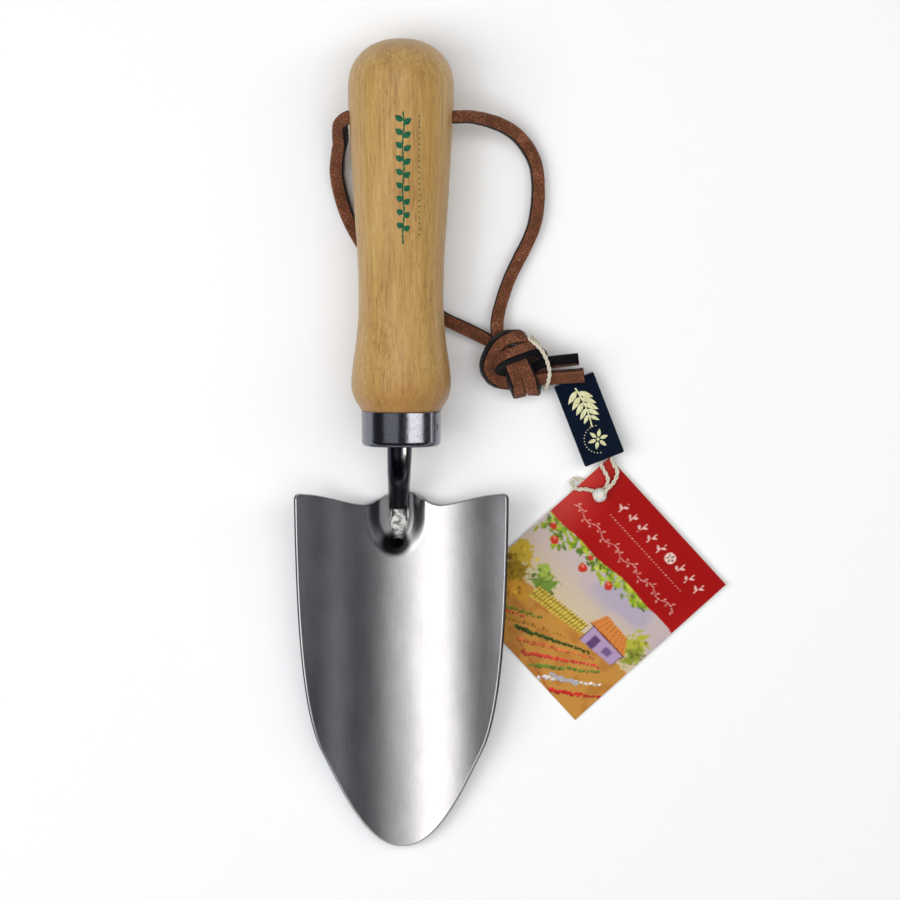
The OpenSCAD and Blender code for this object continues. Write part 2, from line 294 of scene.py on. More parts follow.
def wood_look():
    """Lacquered pale hardwood, with its grain along the handle and short dark pores."""
    look = Look("handle_wood", Coat_Weight=0.15, Coat_Roughness=0.3)
    broad = look.noise(14 * MM, 2, where=look.stretched(1, 0.16, 1), lift=0.6)
    lines = look.noise(1.1 * MM, 4, 0.6, where=look.stretched(1, 0.05, 1), lift=0.2)
    fine = look.noise(0.35 * MM, 3, where=look.stretched(1, 0.06, 1))
    pores = look.step(look.noise(0.42 * MM, 2, 0.5, where=look.stretched(1, 0.12, 1)), 0.58, 0.68)
    patch = look.step(look.noise(14 * MM, 2, where=look.stretched(1, 0.4, 1)), 0.36, 0.62)
    tone = look.total((broad, 0.35), (lines, 0.35), (fine, 0.30))
    tans = (0.34, (138, 96, 46)), (0.45, (174, 134, 74)), (0.54, (188, 150, 88)), (0.66, (202, 169, 110))
    colour = look.ramp(tone, *tans)
    neck = look.step(look.add("SeparateXYZ", {"Vector": look.place}).outputs["Y"], 0.030, 0.012)
    colour = look.mix(look.math("MULTIPLY", neck, 0.55), colour, srgb(160, 110, 58))
    dark = look.math("MULTIPLY", pores, look.between(patch, 0.12, 0.60))
    look.set("Base Color", look.mix(dark, colour, srgb(118, 74, 38)))
    look.set("Roughness", look.between(lines, 0.36, 0.52))
    look.bump(look.total((fine, 0.4), (dark, -0.8)), 0.06 * MM, 0.6)
    return look.material


def satin_steel():
    """The blade's satin stainless steel, with fine lines along the tool, small specks, and painted shade on
    its outer edge and round the weld.
    """
    look = Look("blade_satin_steel", Metallic=1.0)
    lines = look.noise(0.35 * MM, 3, where=look.stretched(1, 0.02, 1))
    cloud = look.noise(9 * MM, 4, 0.6, where=look.stretched(1, 0.5, 1))
    specks = look.step(look.noise(1.1 * MM, 1, 0.4), 0.78, 0.84)
    tone = look.total((lines, 0.35), (cloud, 0.65))
    colour = look.ramp(tone, (0.30, (176, 176, 180)), (0.70, (206, 206, 210)))
    colour = look.mix(look.math("MULTIPLY", specks, 0.5), colour, srgb(84, 80, 76))
    # Painted shade: the marked outer edge and the patch round the weld turn dark grey, for the edge's dark
    # reflection and the shadowed pocket where the channel ends.
    look.set("Base Color", look.mix(look.attribute("rim"), colour, srgb(58, 58, 62)))
    look.set("Roughness", look.between(tone, 0.30, 0.42))
    look.bump(look.total((lines, 1), (cloud, 0.6)), 0.012 * MM, 0.7)
    return look.material


def bright_steel(name, base, low, high, dents):
    """Polished steel with soft dents and scuffs, for the ferrule and the pin."""
    look = Look(name, Metallic=1.0)
    scuffs = look.noise(0.5 * MM, 4, 0.65)
    waves = look.noise(2.6 * MM, 2, 0.5)
    look.set("Base Color", look.ramp(scuffs, (0.30, [int(c * 0.84) for c in base]), (0.62, base)))
    look.set("Roughness", look.between(scuffs, low, high))
    look.bump(look.total((waves, 1), (scuffs, 0.25)), dents, 0.8)
    return look.material


def tang_steel():
    """The tang's dark steel, bright where its end is ground to a bevel and along a painted highlight down its
    upper right side.
    """
    look = Look("tang_steel", Metallic=1.0)
    scuffs = look.noise(0.6 * MM, 4, 0.65)
    dark = look.ramp(scuffs, (0.30, (34, 34, 42)), (0.66, (62, 62, 72)))
    bright = look.ramp(look.noise(2.2 * MM, 2, 0.5), (0.40, (150, 148, 148)), (0.60, (250, 248, 244)))
    # Bright where marked: the real ground end, and a painted highlight streak.
    look.set("Base Color", look.mix(look.attribute("ground"), dark, bright))
    look.set("Roughness", look.between(scuffs, 0.16, 0.32))
    look.bump(look.noise(2.6 * MM, 1), 0.06 * MM, 0.6)
    return look.material


def speckled(name, grain, stops, roughness, depth, strength=1.0, **sockets):
    """A material whose colour, relief and, if given, roughness follow one noise, with grain its arguments."""
    look = Look(name, **sockets)
    speckle = look.noise(*grain)
    look.set("Base Color", look.ramp(speckle, *stops))
    if roughness:
        look.set("Roughness", look.between(speckle, *roughness))
    look.bump(speckle, depth, strength)
    return look.material


def weld_steel():
    """The weld bead: rough steel, near black as painted shade for the shadowed pocket at the channel's end.
    """
    # Painted shade: these near-black colours stand in for the shadow in the pocket where the channel ends.
    stops = [(0.3, (26, 24, 28)), (0.7, (54, 52, 56))]
    return speckled("weld_steel", (0.9 * MM, 4, 0.6), stops, (0.4, 0.6), 0.05 * MM, Metallic=1.0)


def leather():
    """Brown suede with one black grain side, which the mesh marks."""
    look = Look("lace_leather", Sheen_Weight=0.05, Sheen_Roughness=0.5)
    nap = look.noise(0.55 * MM, 5, 0.72)
    flecks = look.step(look.noise(0.32 * MM, 2, 0.6), 0.60, 0.74)
    patches = look.noise(5 * MM, 2)
    tone = look.total((nap, 0.75), (patches, 0.25))
    browns = (0.38, (12, 4, 3)), (0.46, (50, 20, 13)), (0.53, (84, 39, 25)), (0.62, (158, 102, 76))
    brown = look.ramp(tone, *browns)
    brown = look.mix(look.math("MULTIPLY", flecks, 0.5), brown, srgb(196, 150, 118))
    brown = look.mix(look.math("MULTIPLY", look.attribute("edge"), 0.35), brown, srgb(160, 108, 78))
    creases = look.noise(1.2 * MM, 3)
    black = look.ramp(creases, (0.35, (6, 5, 7)), (0.7, (20, 18, 23)))
    mask = look.step(look.total((look.attribute("grain"), 1), (nap, 0.5)), 0.62, 0.80)
    look.set("Base Color", look.mix(mask, brown, black))
    look.set("Roughness", look.between(mask, 0.92, 0.5))
    look.set("Specular IOR Level", look.between(mask, 0.3, 0.16))
    look.bump(look.total((nap, 1), (flecks, 0.3)), 0.22 * MM, 0.8)
    return look.material


def cotton():
    """Cream cotton thread."""
    stops = [(0.3, (160, 148, 122)), (0.5, (222, 214, 192)), (0.72, (248, 244, 230))]
    soft = {"Roughness": 0.85, "Sheen_Weight": 0.3}
    return speckled("string_cotton", (0.3 * MM, 4, 0.7), stops, None, 0.12 * MM, **soft)


def seal_plastic():
    """Blue-black moulded plastic, paler where it is rubbed."""
    look = Look("seal_plastic", Specular_IOR_Level=0.22)
    grain = look.noise(0.4 * MM, 4, 0.6)
    cloud = look.noise(6 * MM, 3)
    tone = look.total((grain, 0.5), (cloud, 0.5))
    look.set("Base Color", look.ramp(tone, (0.3, (5, 13, 27)), (0.62, (10, 22, 40)), (0.8, (26, 42, 62))))
    look.set("Roughness", look.between(grain, 0.34, 0.55))
    look.bump(grain, 0.04 * MM)
    return look.material


def ink(name, dark, pale, size=0.5 * MM):
    """Printed ink that varies a little in strength."""
    return speckled(name, (size, 3, 0.6), [(0.32, dark), (0.66, pale)], (0.42, 0.6), 0.02 * MM)


def card_look():
    """Glossy coated card. Its picture is the mesh's own colour, with paper grain over it."""
    look = Look("tag_card", Specular_IOR_Level=0.22, Coat_Weight=0.05, Coat_Roughness=0.2)
    paint = look.add("Attribute", {}, attribute_name="paint").outputs["Color"]
    paper = look.noise(0.35 * MM, 4, 0.6)
    shade = look.ramp(paper, (0.25, [238.614] * 3), (0.7, [255] * 3))
    look.set("Base Color", look.mix(1.0, paint, shade, "MULTIPLY"))
    look.set("Roughness", look.between(paper, 0.30, 0.42))
    look.bump(paper, 0.01 * MM)
    return look.material


def pearl():
    """The bead's pearly plastic, with its colours in swirls."""
    stops = [(0.35, (176, 190, 178)), (0.5, (226, 226, 218)), (0.65, (240, 222, 214))]
    gloss = {"Coat_Weight": 0.8, "Coat_Roughness": 0.1, "Roughness": 0.3}
    return speckled("bead_pearl", (1.6 * MM, 3, 0.6, None, 0.8), stops, None, 0.05 * MM, 0.5, **gloss)


# ---------------------------------------------------------------- camera and light

CAMERA_AT = (0.0150, 0.09522, 1.10581)
CAMERA_TILT = math.radians(-5)
CAMERA_LENS = 141.94


def make_camera():
    """The camera looks down on the tool, leaning a little towards its butt."""
    data = bpy.data.cameras.new("camera")
    data.lens = CAMERA_LENS
    data.sensor_width = 36
    data.clip_end = 10
    camera = bpy.data.objects.new("camera", data)
    camera.location = CAMERA_AT
    camera.rotation_euler = (CAMERA_TILT, 0, 0)
    bpy.context.collection.objects.link(camera)
    bpy.context.scene.camera = camera


def area_light(name, at, target, size, power, colour=(1, 1, 1)):
    """A rectangular soft light of size (across, along), facing its target. It leaves no glint."""
    data = bpy.data.lights.new(name, "AREA")
    data.shape = "RECTANGLE"
    data.size, data.size_y = size
    data.energy = power
    data.color = colour
    lamp = bpy.data.objects.new(name, data)
    lamp.location = at
    lamp.rotation_euler = (Vector(target) - Vector(at)).to_track_quat("-Z", "Y").to_euler()
    lamp.visible_glossy = False
    bpy.context.collection.objects.link(lamp)
    return lamp


def reflector(name, seen_by, x_range, y_range, brightness, colour=(1, 1, 1)):
    """A level panel above the tool, given by its x and y ranges. Only the named pieces reflect it."""
    size = (x_range[1] - x_range[0], y_range[1] - y_range[0])
    middle = (sum(x_range) / 2, sum(y_range) / 2, PANEL_HEIGHT)
    power = 4 * size[0] * size[1] * brightness
    panel = area_light(name, middle, (middle[0], middle[1], 0), size, power, colour)
    panel.visible_glossy = True
    panel.visible_diffuse = False
    receivers = bpy.data.collections.new(name + "_receivers")
    for piece in seen_by:
        receivers.objects.link(bpy.data.objects[piece])
    panel.light_linking.receiver_collection = receivers


PANEL_HEIGHT = 1.6
WARM, COOL = (1, 0.97, 0.91), (0.82, 0.90, 1.0)


def make_lights():
    """Soft studio light from the left, fill from above, and panels that shape the steel's reflections."""
    bpy.context.scene.view_settings.view_transform = "Standard"
    world = bpy.data.worlds.new("studio")
    world.use_nodes = True
    world.node_tree.nodes["Background"].inputs[0].default_value = (*COOL, 1)
    world.node_tree.nodes["Background"].inputs[1].default_value = 0.05
    bpy.context.scene.world = world
    area_light("key", (-0.62, -0.02, 0.80), (0, 0, 0), (0.60, 0.65), 4.4)
    area_light("side_fill", (0.72, 0.20, 0.75), (0, 0.02, 0), (0.4, 0.6), 2.0, WARM)
    area_light("top_fill", (0, 0, 1.9), (0, 0, 0), (2.2, 2.2), 31.5, (0.98, 0.99, 1))
    blade, upper = ["pressed_blade"], ["steel_ferrule", "cranked_tang"]
    reflector("blade_top", blade, (-0.34, 0.36), (-1.3, 0.02), 0.72)
    reflector("blade_left", blade, (-1.6, -0.34), (-1.3, 0.5), 2.2, WARM)
    reflector("blade_far_left", blade, (-2.8, -1.6), (-1.3, 0.9), 0.5)
    reflector("blade_right", blade, (1.9, 3.4), (-1.3, 0.9), 0.3)
    reflector("ferrule_left", upper, (-1.9, -0.2), (-0.2, 0.9), 0.45)
    reflector("ferrule_glow", upper, (-1.05, -0.5), (-0.2, 0.9), 0.5)
    reflector("ferrule_right", upper, (0.60, 3.6), (-0.2, 0.9), 3.5, WARM)
    reflector("wood_glow", ["turned_handle"], (-0.4, 0.2), (0.4, 1.1), 3.0)
    cards = [("front_card", (0, -1.5, 0.24), (1.6, 0.32), 1.6), ("back_card", (0, 1.7, 0.6), (3.4, 1.0), 8.0)]
    for name, at, size, power in cards:
        card = area_light(name, at, (0, 0, 0.1), size, power)
        card.visible_glossy = True
        card.visible_diffuse = False


def make_floor():
    """A wide pale floor just below the tool."""
    corners = [(-1.6, -1.6, 0), (1.6, -1.6, 0), (1.6, 1.6, 0), (-1.6, 1.6, 0)]
    floor = mesh_piece("floor", corners, [(0, 1, 2, 3)])
    floor.location.z = -0.0002
    look = Look("floor_white", Base_Color=(0.93, 0.93, 0.935, 1), Roughness=0.8)
    floor.data.materials.append(look.material)


# ---------------------------------------------------------------- cords

LACE_WIDTH = 4.1 * MM
LACE_HEIGHT = 3.5 * MM
LACE_CORNER = 0.75 * MM
STRING_WIDTH = 1.35 * MM
STRING_PITCH = 3.8 * MM
# How near two strands of the lace may lie, from middle to middle
STRAND_GAP = 3.75 * MM

RIGHT_LACE = [
    [0, 102, 16.5], [6.5, 102, 16.5], [13, 102, 16.5], [17.5, 102.1, 16.2], [21.5, 102.1, 14.6],
    [26.5, 101.1, 11.2], [31.6, 99.2, 7.6], [36, 96.2, 4.6], [39.5, 91.8, 3], [41.6, 87, 2.6],
    [42.3, 81, 2.6], [42.1, 74.7, 2.6], [41.1, 68.8, 2.6], [39, 63.4, 2.6], [36.2, 57.9, 2.6],
    [33.6, 52.5, 2.6], [31.6, 47, 2.8], [30.1, 42, 3.4], [29.4, 37.6, 4], [29.9, 33.2, 5.4],
    [31.5, 29.5, 6], [33.1, 26.2, 7.4], [34.5, 22.9, 8.6], [35.6, 19.7, 8.2], [36.4, 17.3, 5.2],
    [36.5, 18.1, 2.4], [36.8, 21.2, 1.9], [37.4, 24.9, 1.9], [38.2, 28.7, 2.4], [38.6, 31.6, 4.4],
    [37.6, 33.8, 7.2], [35.3, 35, 8.9], [32.6, 34.8, 9.4], [30.2, 33.3, 9.3], [28.2, 30.8, 8.9],
    [26.9, 27.8, 8.2], [26.5, 24.8, 7.2], [27.3, 22.1, 6], [29, 20.1, 5], [31.5, 19.6, 4.6],
    [34.3, 20.1, 4.8], [37.4, 20.6, 5], [40.5, 21, 5.6], [43.2, 21.4, 7], [46, 21.7, 8.2], [49.4, 22, 8.6],
    [53.1, 22.2, 8.6], [56.5, 22.5, 8.6],
]
LEFT_LACE = [
    [0, 102, 16.5], [-6.5, 102, 16.5], [-13, 102, 16.5], [-16.2, 101.9, 16.2], [-18.4, 100.4, 14.4],
    [-18.7, 97.7, 11.6], [-18.7, 94.4, 9], [-19.3, 91.6, 6.9], [-19.8, 88.2, 5.1], [-19.9, 84.2, 3.8],
    [-19.2, 80, 3], [-18.1, 75.6, 2.6], [-16.6, 71.2, 2.6], [-14.4, 66.8, 2.6], [-11, 61.5, 2.6],
    [-5, 55, 2.6], [2, 48.8, 2.6], [8, 43.8, 2.6], [13.4, 39.7, 2.6], [18.4, 37.3, 2.7], [22.8, 35.2, 2.8],
    [25.6, 33.7, 2.6], [27.8, 32.6, 2], [30.3, 31.2, 1.9], [32.7, 29.6, 2.6], [35.2, 28.2, 4.2],
    [37.2, 26.4, 6.4], [38.7, 24.1, 8.2], [39.9, 21.3, 8.6], [40.8, 18.7, 7.2], [41.1, 17.3, 4.8],
    [41.4, 18.5, 2.3], [42, 21.8, 1.9], [42.6, 25, 2.4], [43.1, 27.6, 4.6], [42.6, 29.8, 7.6],
    [40.5, 30.8, 9.8], [37.9, 30.3, 10.6], [34.9, 29, 10.4], [32.2, 27.7, 9.4], [30.3, 26.2, 7.6],
    [30.2, 24.4, 5.6], [31.9, 23.4, 4.6], [34.6, 23.4, 4.6], [37.7, 23.9, 4.8], [40.8, 24.8, 5.4],
    [43.5, 25.9, 7.2], [46, 26.6, 8.4], [49.1, 26.9, 8.6], [52.2, 27.2, 8.6], [54.8, 27.5, 8.6],
]
# Which way the brown top side faces at some of the points above
RIGHT_FACES = [
    (0, (0, 0.05, 1)), (3, (0, 0.05, 1)), (5, (0, 0.05, 1)), (9, (0.1, 0, 1)), (13, (0.05, 0, 1)),
    (16, (0, 0, 1)), (20, (0, 0, 1)), (23, (0.45, 0, 0.9)), (25, (0, 0, -1)), (28, (0, 0, -1)),
    (32, (0, -0.35, 1)), (36, (0.35, 0, 1)), (38, (0, 0.35, 1)), (41, (0, -0.6, 0.8)), (44, (0, -0.35, 1)),
    (47, (0, -0.35, 1)),
]
LEFT_FACES = [
    (0, (0, 0, 1)), (4, (-0.1, 0, 1)), (7, (-0.1, 0, 1)), (11, (-0.15, 0, 1)), (17, (0, 0, 1)),
    (24, (0, 0, 1)), (28, (0, 0, 1)), (31, (0, 0, -1)), (33, (0, 0, -1)), (37, (-0.2, 0.8, 1)),
    (39, (-0.3, 0.7, 1)), (43, (0, -0.4, -1)), (46, (0, -1, 0.2)), (49, (0, -1, 0.25)), (50, (0, -1, 0.25)),
]
SEAL_STRING = [
    [45.4, 18.3, 4.2], [44.7, 18, 6.6], [45, 19.2, 9.5], [45.5, 21.3, 11.2], [45.8, 23.5, 11.4],
    [45.4, 25.7, 11.4], [44.6, 28, 11.4], [43.4, 30.2, 11.1], [41.6, 32.2, 10.8], [39.9, 33.6, 9.4],
    [39.7, 34.4, 7.2], [41.2, 33.4, 5.3], [43.6, 29.8, 4.4], [45.4, 25, 4.4], [45.8, 21.2, 4.2],
]
CARD_STRING = [
    [62.1, -5.6, 3.5], [63, -7.6, 3.5], [64.2, -9.8, 3.5], [64.1, -12, 3.2], [62.9, -13.6, 3],
    [61.2, -14.4, 3.2], [59.3, -14, 3.2], [57.1, -13.5, 3.1], [55.1, -13.6, 2.9], [53.6, -12.9, 2.5],
    [53, -11.7, 1.6], [53.9, -10.5, 0.8], [55.8, -10.8, 0.71], [57.4, -12.4, 0.71], [59.8, -14.6, 0.71],
    [61.2, -15.8, 1.3], [62.2, -15.8, 3.4], [63, -14.8, 4.8], [64.2, -13.2, 4.7], [65.5, -12, 4.4],
    [66.6, -10.4, 3.9], [67.2, -8.5, 3.6], [66.9, -6.9, 3.5], [66.1, -5.8, 3.5],
]
# Where the card string's two ends go on to, inside the seal
CARD_STRING_ENDS = [[61.3, -3.0, 3.7], [65.0, -2.7, 3.7]]


def settled(paths, gap, free_from, rounds=160):
    """The paths with their strands pushed apart to at least gap. Points before free_from stay."""
    index = np.concatenate([np.full(len(p), k) for k, p in enumerate(paths)])
    order = np.concatenate([np.arange(len(p)) for p in paths])
    start = np.vstack(paths)
    step = np.linalg.norm(paths[0][1] - paths[0][0])
    free = np.concatenate([np.arange(len(p)) >= f for p, f in zip(paths, free_from)])
    near = (index[:, None] == index[None, :]) & (abs(order[:, None] - order[None, :]) * step < 1.7 * gap)
    inner = index[2:] == index[:-2]
    place = start.copy()
    for _ in range(rounds):
        apart = place[:, None, :] - place[None, :, :]
        distance = np.linalg.norm(apart, axis=2) + 1e-9
        push = np.where(near, 0, np.clip(gap - distance, 0, None))
        move = (apart / distance[..., None] * push[..., None]).sum(axis=1) * 0.22
        ease = np.zeros_like(place)
        ease[1:-1][inner] = (0.5 * (place[2:] + place[:-2]) - place[1:-1])[inner]
        place += np.where(free[:, None], move + 0.30 * ease + 0.03 * (start - place), 0)
        place[:, 2] = np.maximum(place[:, 2], np.minimum(start[:, 2], LACE_HEIGHT / 2 + 0.15 * MM))
    return [place[index == k] for k in range(len(paths))]


def guided_turns(path, side, top, faces, at):
    """The turn at each ring, in radians, that makes the top face as asked at the given rings."""
    turns, last = [], 0.0
    for ring, (_, face) in zip(at, faces):
        turn = math.atan2(-np.dot(face, side[ring]), np.dot(face, top[ring]))
        turn += 2 * math.pi * round((last - turn) / (2 * math.pi))
        turns.append(turn)
        last = turn
    return np.interp(np.arange(len(path)), at, turns)


def lace(name, path, faces, at, black_side):
    """One half of the leather lace. Its black grain side is on its left or right, going from the handle."""
    side, top = carried_frames(path, (0, 0, 1))
    side, top = twisted(side, top, guided_turns(path, side, top, faces, at))
    wobble = np.random.default_rng(len(path)).normal(0, 1, len(path) + 10)
    wobble = np.convolve(wobble, np.ones(11) / 11, "valid") * 0.09
    section = rounded_section(LACE_WIDTH, LACE_HEIGHT, LACE_CORNER)
    piece = swept(name, path, section, side, top, 1 + wobble)
    for point in piece.data.vertices:
        point.co.z = max(point.co.z, 0.1 * MM)
    across, up = section[:, 0] * black_side, section[:, 1]
    grain = np.clip((across - LACE_WIDTH / 2 + LACE_CORNER) / LACE_CORNER, 0, 1)
    edge = np.clip((np.abs(across) - LACE_WIDTH / 2 + 1.6 * LACE_CORNER) / LACE_CORNER, 0, 1)
    edge = edge * (np.abs(up) > 1.2 * MM)
    mark(piece, "grain", np.tile(grain, len(path)))
    mark(piece, "edge", np.tile(edge, len(path)))
    return piece


def twisted_string(name, path, width, pitch):
    """A two-strand twisted string round a path."""
    side, top = carried_frames(path, (0.3, 0.2, 1))
    run = run_along(path)
    around = np.linspace(0, 2 * math.pi, 10, endpoint=False)
    strand = 0.25 * width
    points, faces = [], []
    for start in (0, math.pi):
        turn = start + 2 * math.pi * run / pitch
        out = np.cos(turn)[:, None] * side + np.sin(turn)[:, None] * top
        centre = path + (width / 2 - strand) * out
        t = unit(np.gradient(centre, axis=0))
        out = unit(out - t * (out * t).sum(axis=1)[:, None])
        across, up = np.cos(around)[None, :, None], 1.15 * np.sin(around)[None, :, None]
        rings = centre[:, None] + strand * (across * out[:, None] + up * np.cross(t, out)[:, None])
        faces += tube_faces(len(path), len(around), len(points))
        points.extend(rings.reshape(-1, 3))
    return mesh_piece(name, points, faces)


def ring_of(path, points, faces):
    """The rings of a path that are nearest the points that the faces name."""
    return [int(np.argmin(np.linalg.norm(path - np.array(points[k]) * MM, axis=1))) for k, _ in faces]


def make_cords():
    """The lace in two halves that meet inside the handle and share one knot, and the two strings."""
    suede, thread = leather(), cotton()
    right, left = [smooth_route(np.array(points) * MM, 0.8 * MM) for points in (RIGHT_LACE, LEFT_LACE)]
    right_at, left_at = ring_of(right, RIGHT_LACE, RIGHT_FACES), ring_of(left, LEFT_LACE, LEFT_FACES)
    before_knot = ring_of(right, RIGHT_LACE, [(16, None)]) + ring_of(left, LEFT_LACE, [(20, None)])
    right, left = settled([right, left], STRAND_GAP, before_knot)
    mouth = np.array([0.0160, 0.102, 0.0165])
    right_nodes = ("thong_core", "thong_right", "thong_tail_lower")
    left_nodes = ("thong_left", "thong_knot", "thong_tail_upper")
    halves = [
        ("lace_right", right, RIGHT_FACES, right_at, -1, mouth, right_nodes),
        ("lace_left", left, LEFT_FACES, left_at, 1, mouth * (-1, 1, 1), left_nodes),
    ]
    for name, path, faces, at, black_side, exit_at, nodes in halves:
        piece = lace(name, path, faces, at, black_side)
        dress(piece, suede, "thong", "leather", *nodes)
    card_points = CARD_STRING_ENDS[:1] + CARD_STRING + CARD_STRING_ENDS[1:]
    strings = [
        ("seal_tie", SEAL_STRING, "thong", "seal_string"),
        ("card_tie", card_points, "tag", "card_string"),
    ]
    for name, points, body, node in strings:
        path = smooth_route(np.array(points) * MM, 0.25 * MM)
        piece = twisted_string(name, path, STRING_WIDTH, STRING_PITCH)
        dress(piece, thread, body, "string", node)


# ---------------------------------------------------------------- handle and ferrule

BUTT = np.array([0, 126, 15.65]) * MM
HANDLE_TILT = math.radians(2)
BUTT_RADIUS = 16.15
DOME_LENGTH = 15
DOME_FULLNESS = 2.2
# Distance from the butt's end and radius
HANDLE_KEYS = [
    [15, 16.15], [20, 16.1], [31, 15.55], [44, 14.8], [56, 14.05], [66, 13.3], [77, 13], [86, 13.2],
    [93, 13.85], [100, 14.85], [105, 15.3], [108.2, 14.95], [110.6, 14], [112.4, 12.85], [113.8, 12.15],
]
HOLE_DISTANCE = 24
HOLE_RADIUS = 3
# The hole's mouths are rounded over from this far out, by this much per square mm
MOUTH_START, MOUTH_FLARE = 14.6, 0.12
FERRULE_RADIUS = 12.15
SPIGOT_RADIUS = 11.1
WOOD_END, STEEL_END = 113.8, 124.6


def on_handle(points):
    """Places in the frame, from (distance from the butt, angle from the top, radius) in mm and radians."""
    distance, angle, radius = np.moveaxis(np.asarray(points, float), -1, 0)
    x = radius * np.sin(angle)
    up = radius * np.cos(angle)
    y = -distance * math.cos(HANDLE_TILT) + up * math.sin(HANDLE_TILT)
    z = distance * math.sin(HANDLE_TILT) + up * math.cos(HANDLE_TILT)
    return BUTT + np.stack([x, y, z], axis=-1) * MM


def handle_profile():
    """The handle's outline from the butt to the ferrule, as (distance, radius) in mm."""
    dome = []
    for k in range(28):
        s = DOME_LENGTH * (1 - math.cos(math.pi / 2 * k / 28))
        r = BUTT_RADIUS * (1 - (1 - s / DOME_LENGTH) ** DOME_FULLNESS) ** (1 / DOME_FULLNESS)
        dome.append([s, max(r, 0.02)])
    side = smooth_route([[s, r, 0] for s, r in HANDLE_KEYS], 1.0)[:, :2]
    return np.vstack([dome, side])


def turned_points(profile, angles, spoil=0.0):
    """The points of a profile turned round the handle's axis, with spoil added to the radii."""
    distance, turn = np.broadcast_arrays(profile[:, :1], angles[None, :])
    radius = profile[:, 1:] + spoil + 0 * turn
    return on_handle(np.stack([distance, turn, radius], axis=-1)).reshape(-1, 3)


def hole_cutter():
    """The lace hole's shape: a bore whose mouths are rounded over."""
    stations, n = np.linspace(-20, 20, 81), 40
    middle = on_handle([[HOLE_DISTANCE, 0, 0]])[0]
    points = []
    for x in stations:
        r = HOLE_RADIUS + MOUTH_FLARE * max(0.0, abs(x) - MOUTH_START) ** 2
        for k in range(n):
            angle = 2 * math.pi * k / n
            points.append(middle + np.array([x, r * math.sin(angle), r * math.cos(angle)]) * MM)
    return mesh_piece("hole_cutter", points, [face[::-1] for face in tube_faces(len(stations), n)])


def make_handle():
    """The turned wooden handle with its cross hole and printed sprig."""
    angles = np.linspace(0, 2 * math.pi, 128, endpoint=False)
    profile = handle_profile()
    spigot = [[WOOD_END + 0.15, SPIGOT_RADIUS], [STEEL_END - 1.1, SPIGOT_RADIUS]]
    profile = np.vstack([profile, spigot])
    faces = tube_faces(len(profile), len(angles))
    handle = mesh_piece("turned_handle", turned_points(profile, angles), faces)
    cut_by(handle, hole_cutter())
    handle.data.polygons.foreach_set("use_smooth", [True] * len(handle.data.polygons))
    dress(handle, wood_look(), "tool", "wood", "handle")
    make_sprig()


def radius_at(distance):
    """The handle's radius in mm at a distance from the butt."""
    profile = handle_profile()
    return np.interp(distance, profile[:, 0], profile[:, 1])


def leaf_outline(length, width, points=9):
    """A pointed leaf's outline from its stalk, as (along, across)."""
    t = np.linspace(0, 1, points)
    half = width / 2 * np.sin(math.pi * t**0.8) ** 0.9
    along = t * length
    return np.concatenate([np.column_stack([along, half]), np.column_stack([along, -half])[-2:0:-1]])


def disc_outline(radius, points=16):
    """A round dot's outline."""
    angle = np.linspace(0, 2 * math.pi, points, endpoint=False)
    return radius * np.column_stack([np.cos(angle), np.sin(angle)])


def placed(outline, at, angle):
    """An outline turned by an angle in degrees and moved to a place."""
    c, s = math.cos(math.radians(angle)), math.sin(math.radians(angle))
    return outline @ np.array([[c, s], [-s, c]]) + np.array(at)


def flat_print(name, outlines, lay, thick=0.04):
    """Thin raised shapes. lay turns (across, along, height) in mm into points on the printed surface."""
    points, faces = [], []
    for outline in outlines:
        n, first = len(outline), len(points)
        middle = outline.mean(axis=0)
        for height, shrink in ((-0.02, 1.0), (thick * 0.6, 1.0), (thick, 0.93)):
            ring = middle + (outline - middle) * shrink
            points.extend(lay(np.column_stack([ring, np.full(n, height)])))
        faces += grid_faces(3, n, first)
        points.extend(lay(np.array([[*middle, thick]])))
        centre = len(points) - 1
        top = first + 2 * n
        faces += [(top + k, top + (k + 1) % n, centre) for k in range(n)]
    return mesh_piece(name, points, faces)


def on_wood(points):
    """Places on the handle's upper side, from (across, distance from the butt, height) in mm."""
    across, distance, height = points.T
    radius = radius_at(distance)
    return on_handle(np.column_stack([distance, across / radius, radius + height]))


SPRIG_START, SPRIG_LENGTH = 23.6, 38.5
DOTTED_LINE_ACROSS = 5.9


def make_sprig():
    """A green leaf sprig with a line of dots beside it, printed on the wood."""
    outlines = []
    for k in range(24):
        s = SPRIG_START + SPRIG_LENGTH * k / 23
        outlines.append(placed(disc_outline(0.30, 8) * (1, 3.2), (0.9 + 0.25 * math.sin(k * 0.8), s), 0))
    for k in range(9):
        s = SPRIG_START + 2.2 + k * 4.0
        size = 4.4 - 0.12 * k
        for side in (-1, 1):
            leaf = leaf_outline(size * 0.66, 1.9)
            outlines.append(placed(leaf, (0.9 + 0.2 * side, s + 0.9 * (side > 0)), 52 * side - 90))
    for k in range(22):
        s = SPRIG_START + 0.6 + k * 1.7
        outlines.append(placed(disc_outline(0.27, 10), (DOTTED_LINE_ACROSS, s), 0))
    sprig = flat_print("handle_sprig", outlines, on_wood)
    dress(sprig, ink("print_green", (10, 66, 42), (30, 106, 74)), "tool", "wood")


SEAM_ANGLE = math.radians(50)
PIN_ANGLE = math.radians(65)
PIN_DISTANCE = WOOD_END + 0.42 * (STEEL_END - WOOD_END)
FERRULE_EDGE = 1.5


def spoil_ferrule(distance, turn):
    """Changes of the ferrule's radius: the rolled seam's groove and lip, and the dimple round the pin."""
    across = (turn - SEAM_ANGLE) * FERRULE_RADIUS
    seam = -0.28 * np.exp(-((across / 0.13) ** 2))
    lip = 0.05 * np.exp(-(((across + 0.5) / 0.4) ** 2))
    reach = np.hypot((turn - PIN_ANGLE) * FERRULE_RADIUS, distance - PIN_DISTANCE)
    dimple = -0.55 * (1 - np.clip((reach - 0.62) / 0.35, 0, 1) ** 2) * (reach < 0.97)
    return seam + lip + dimple


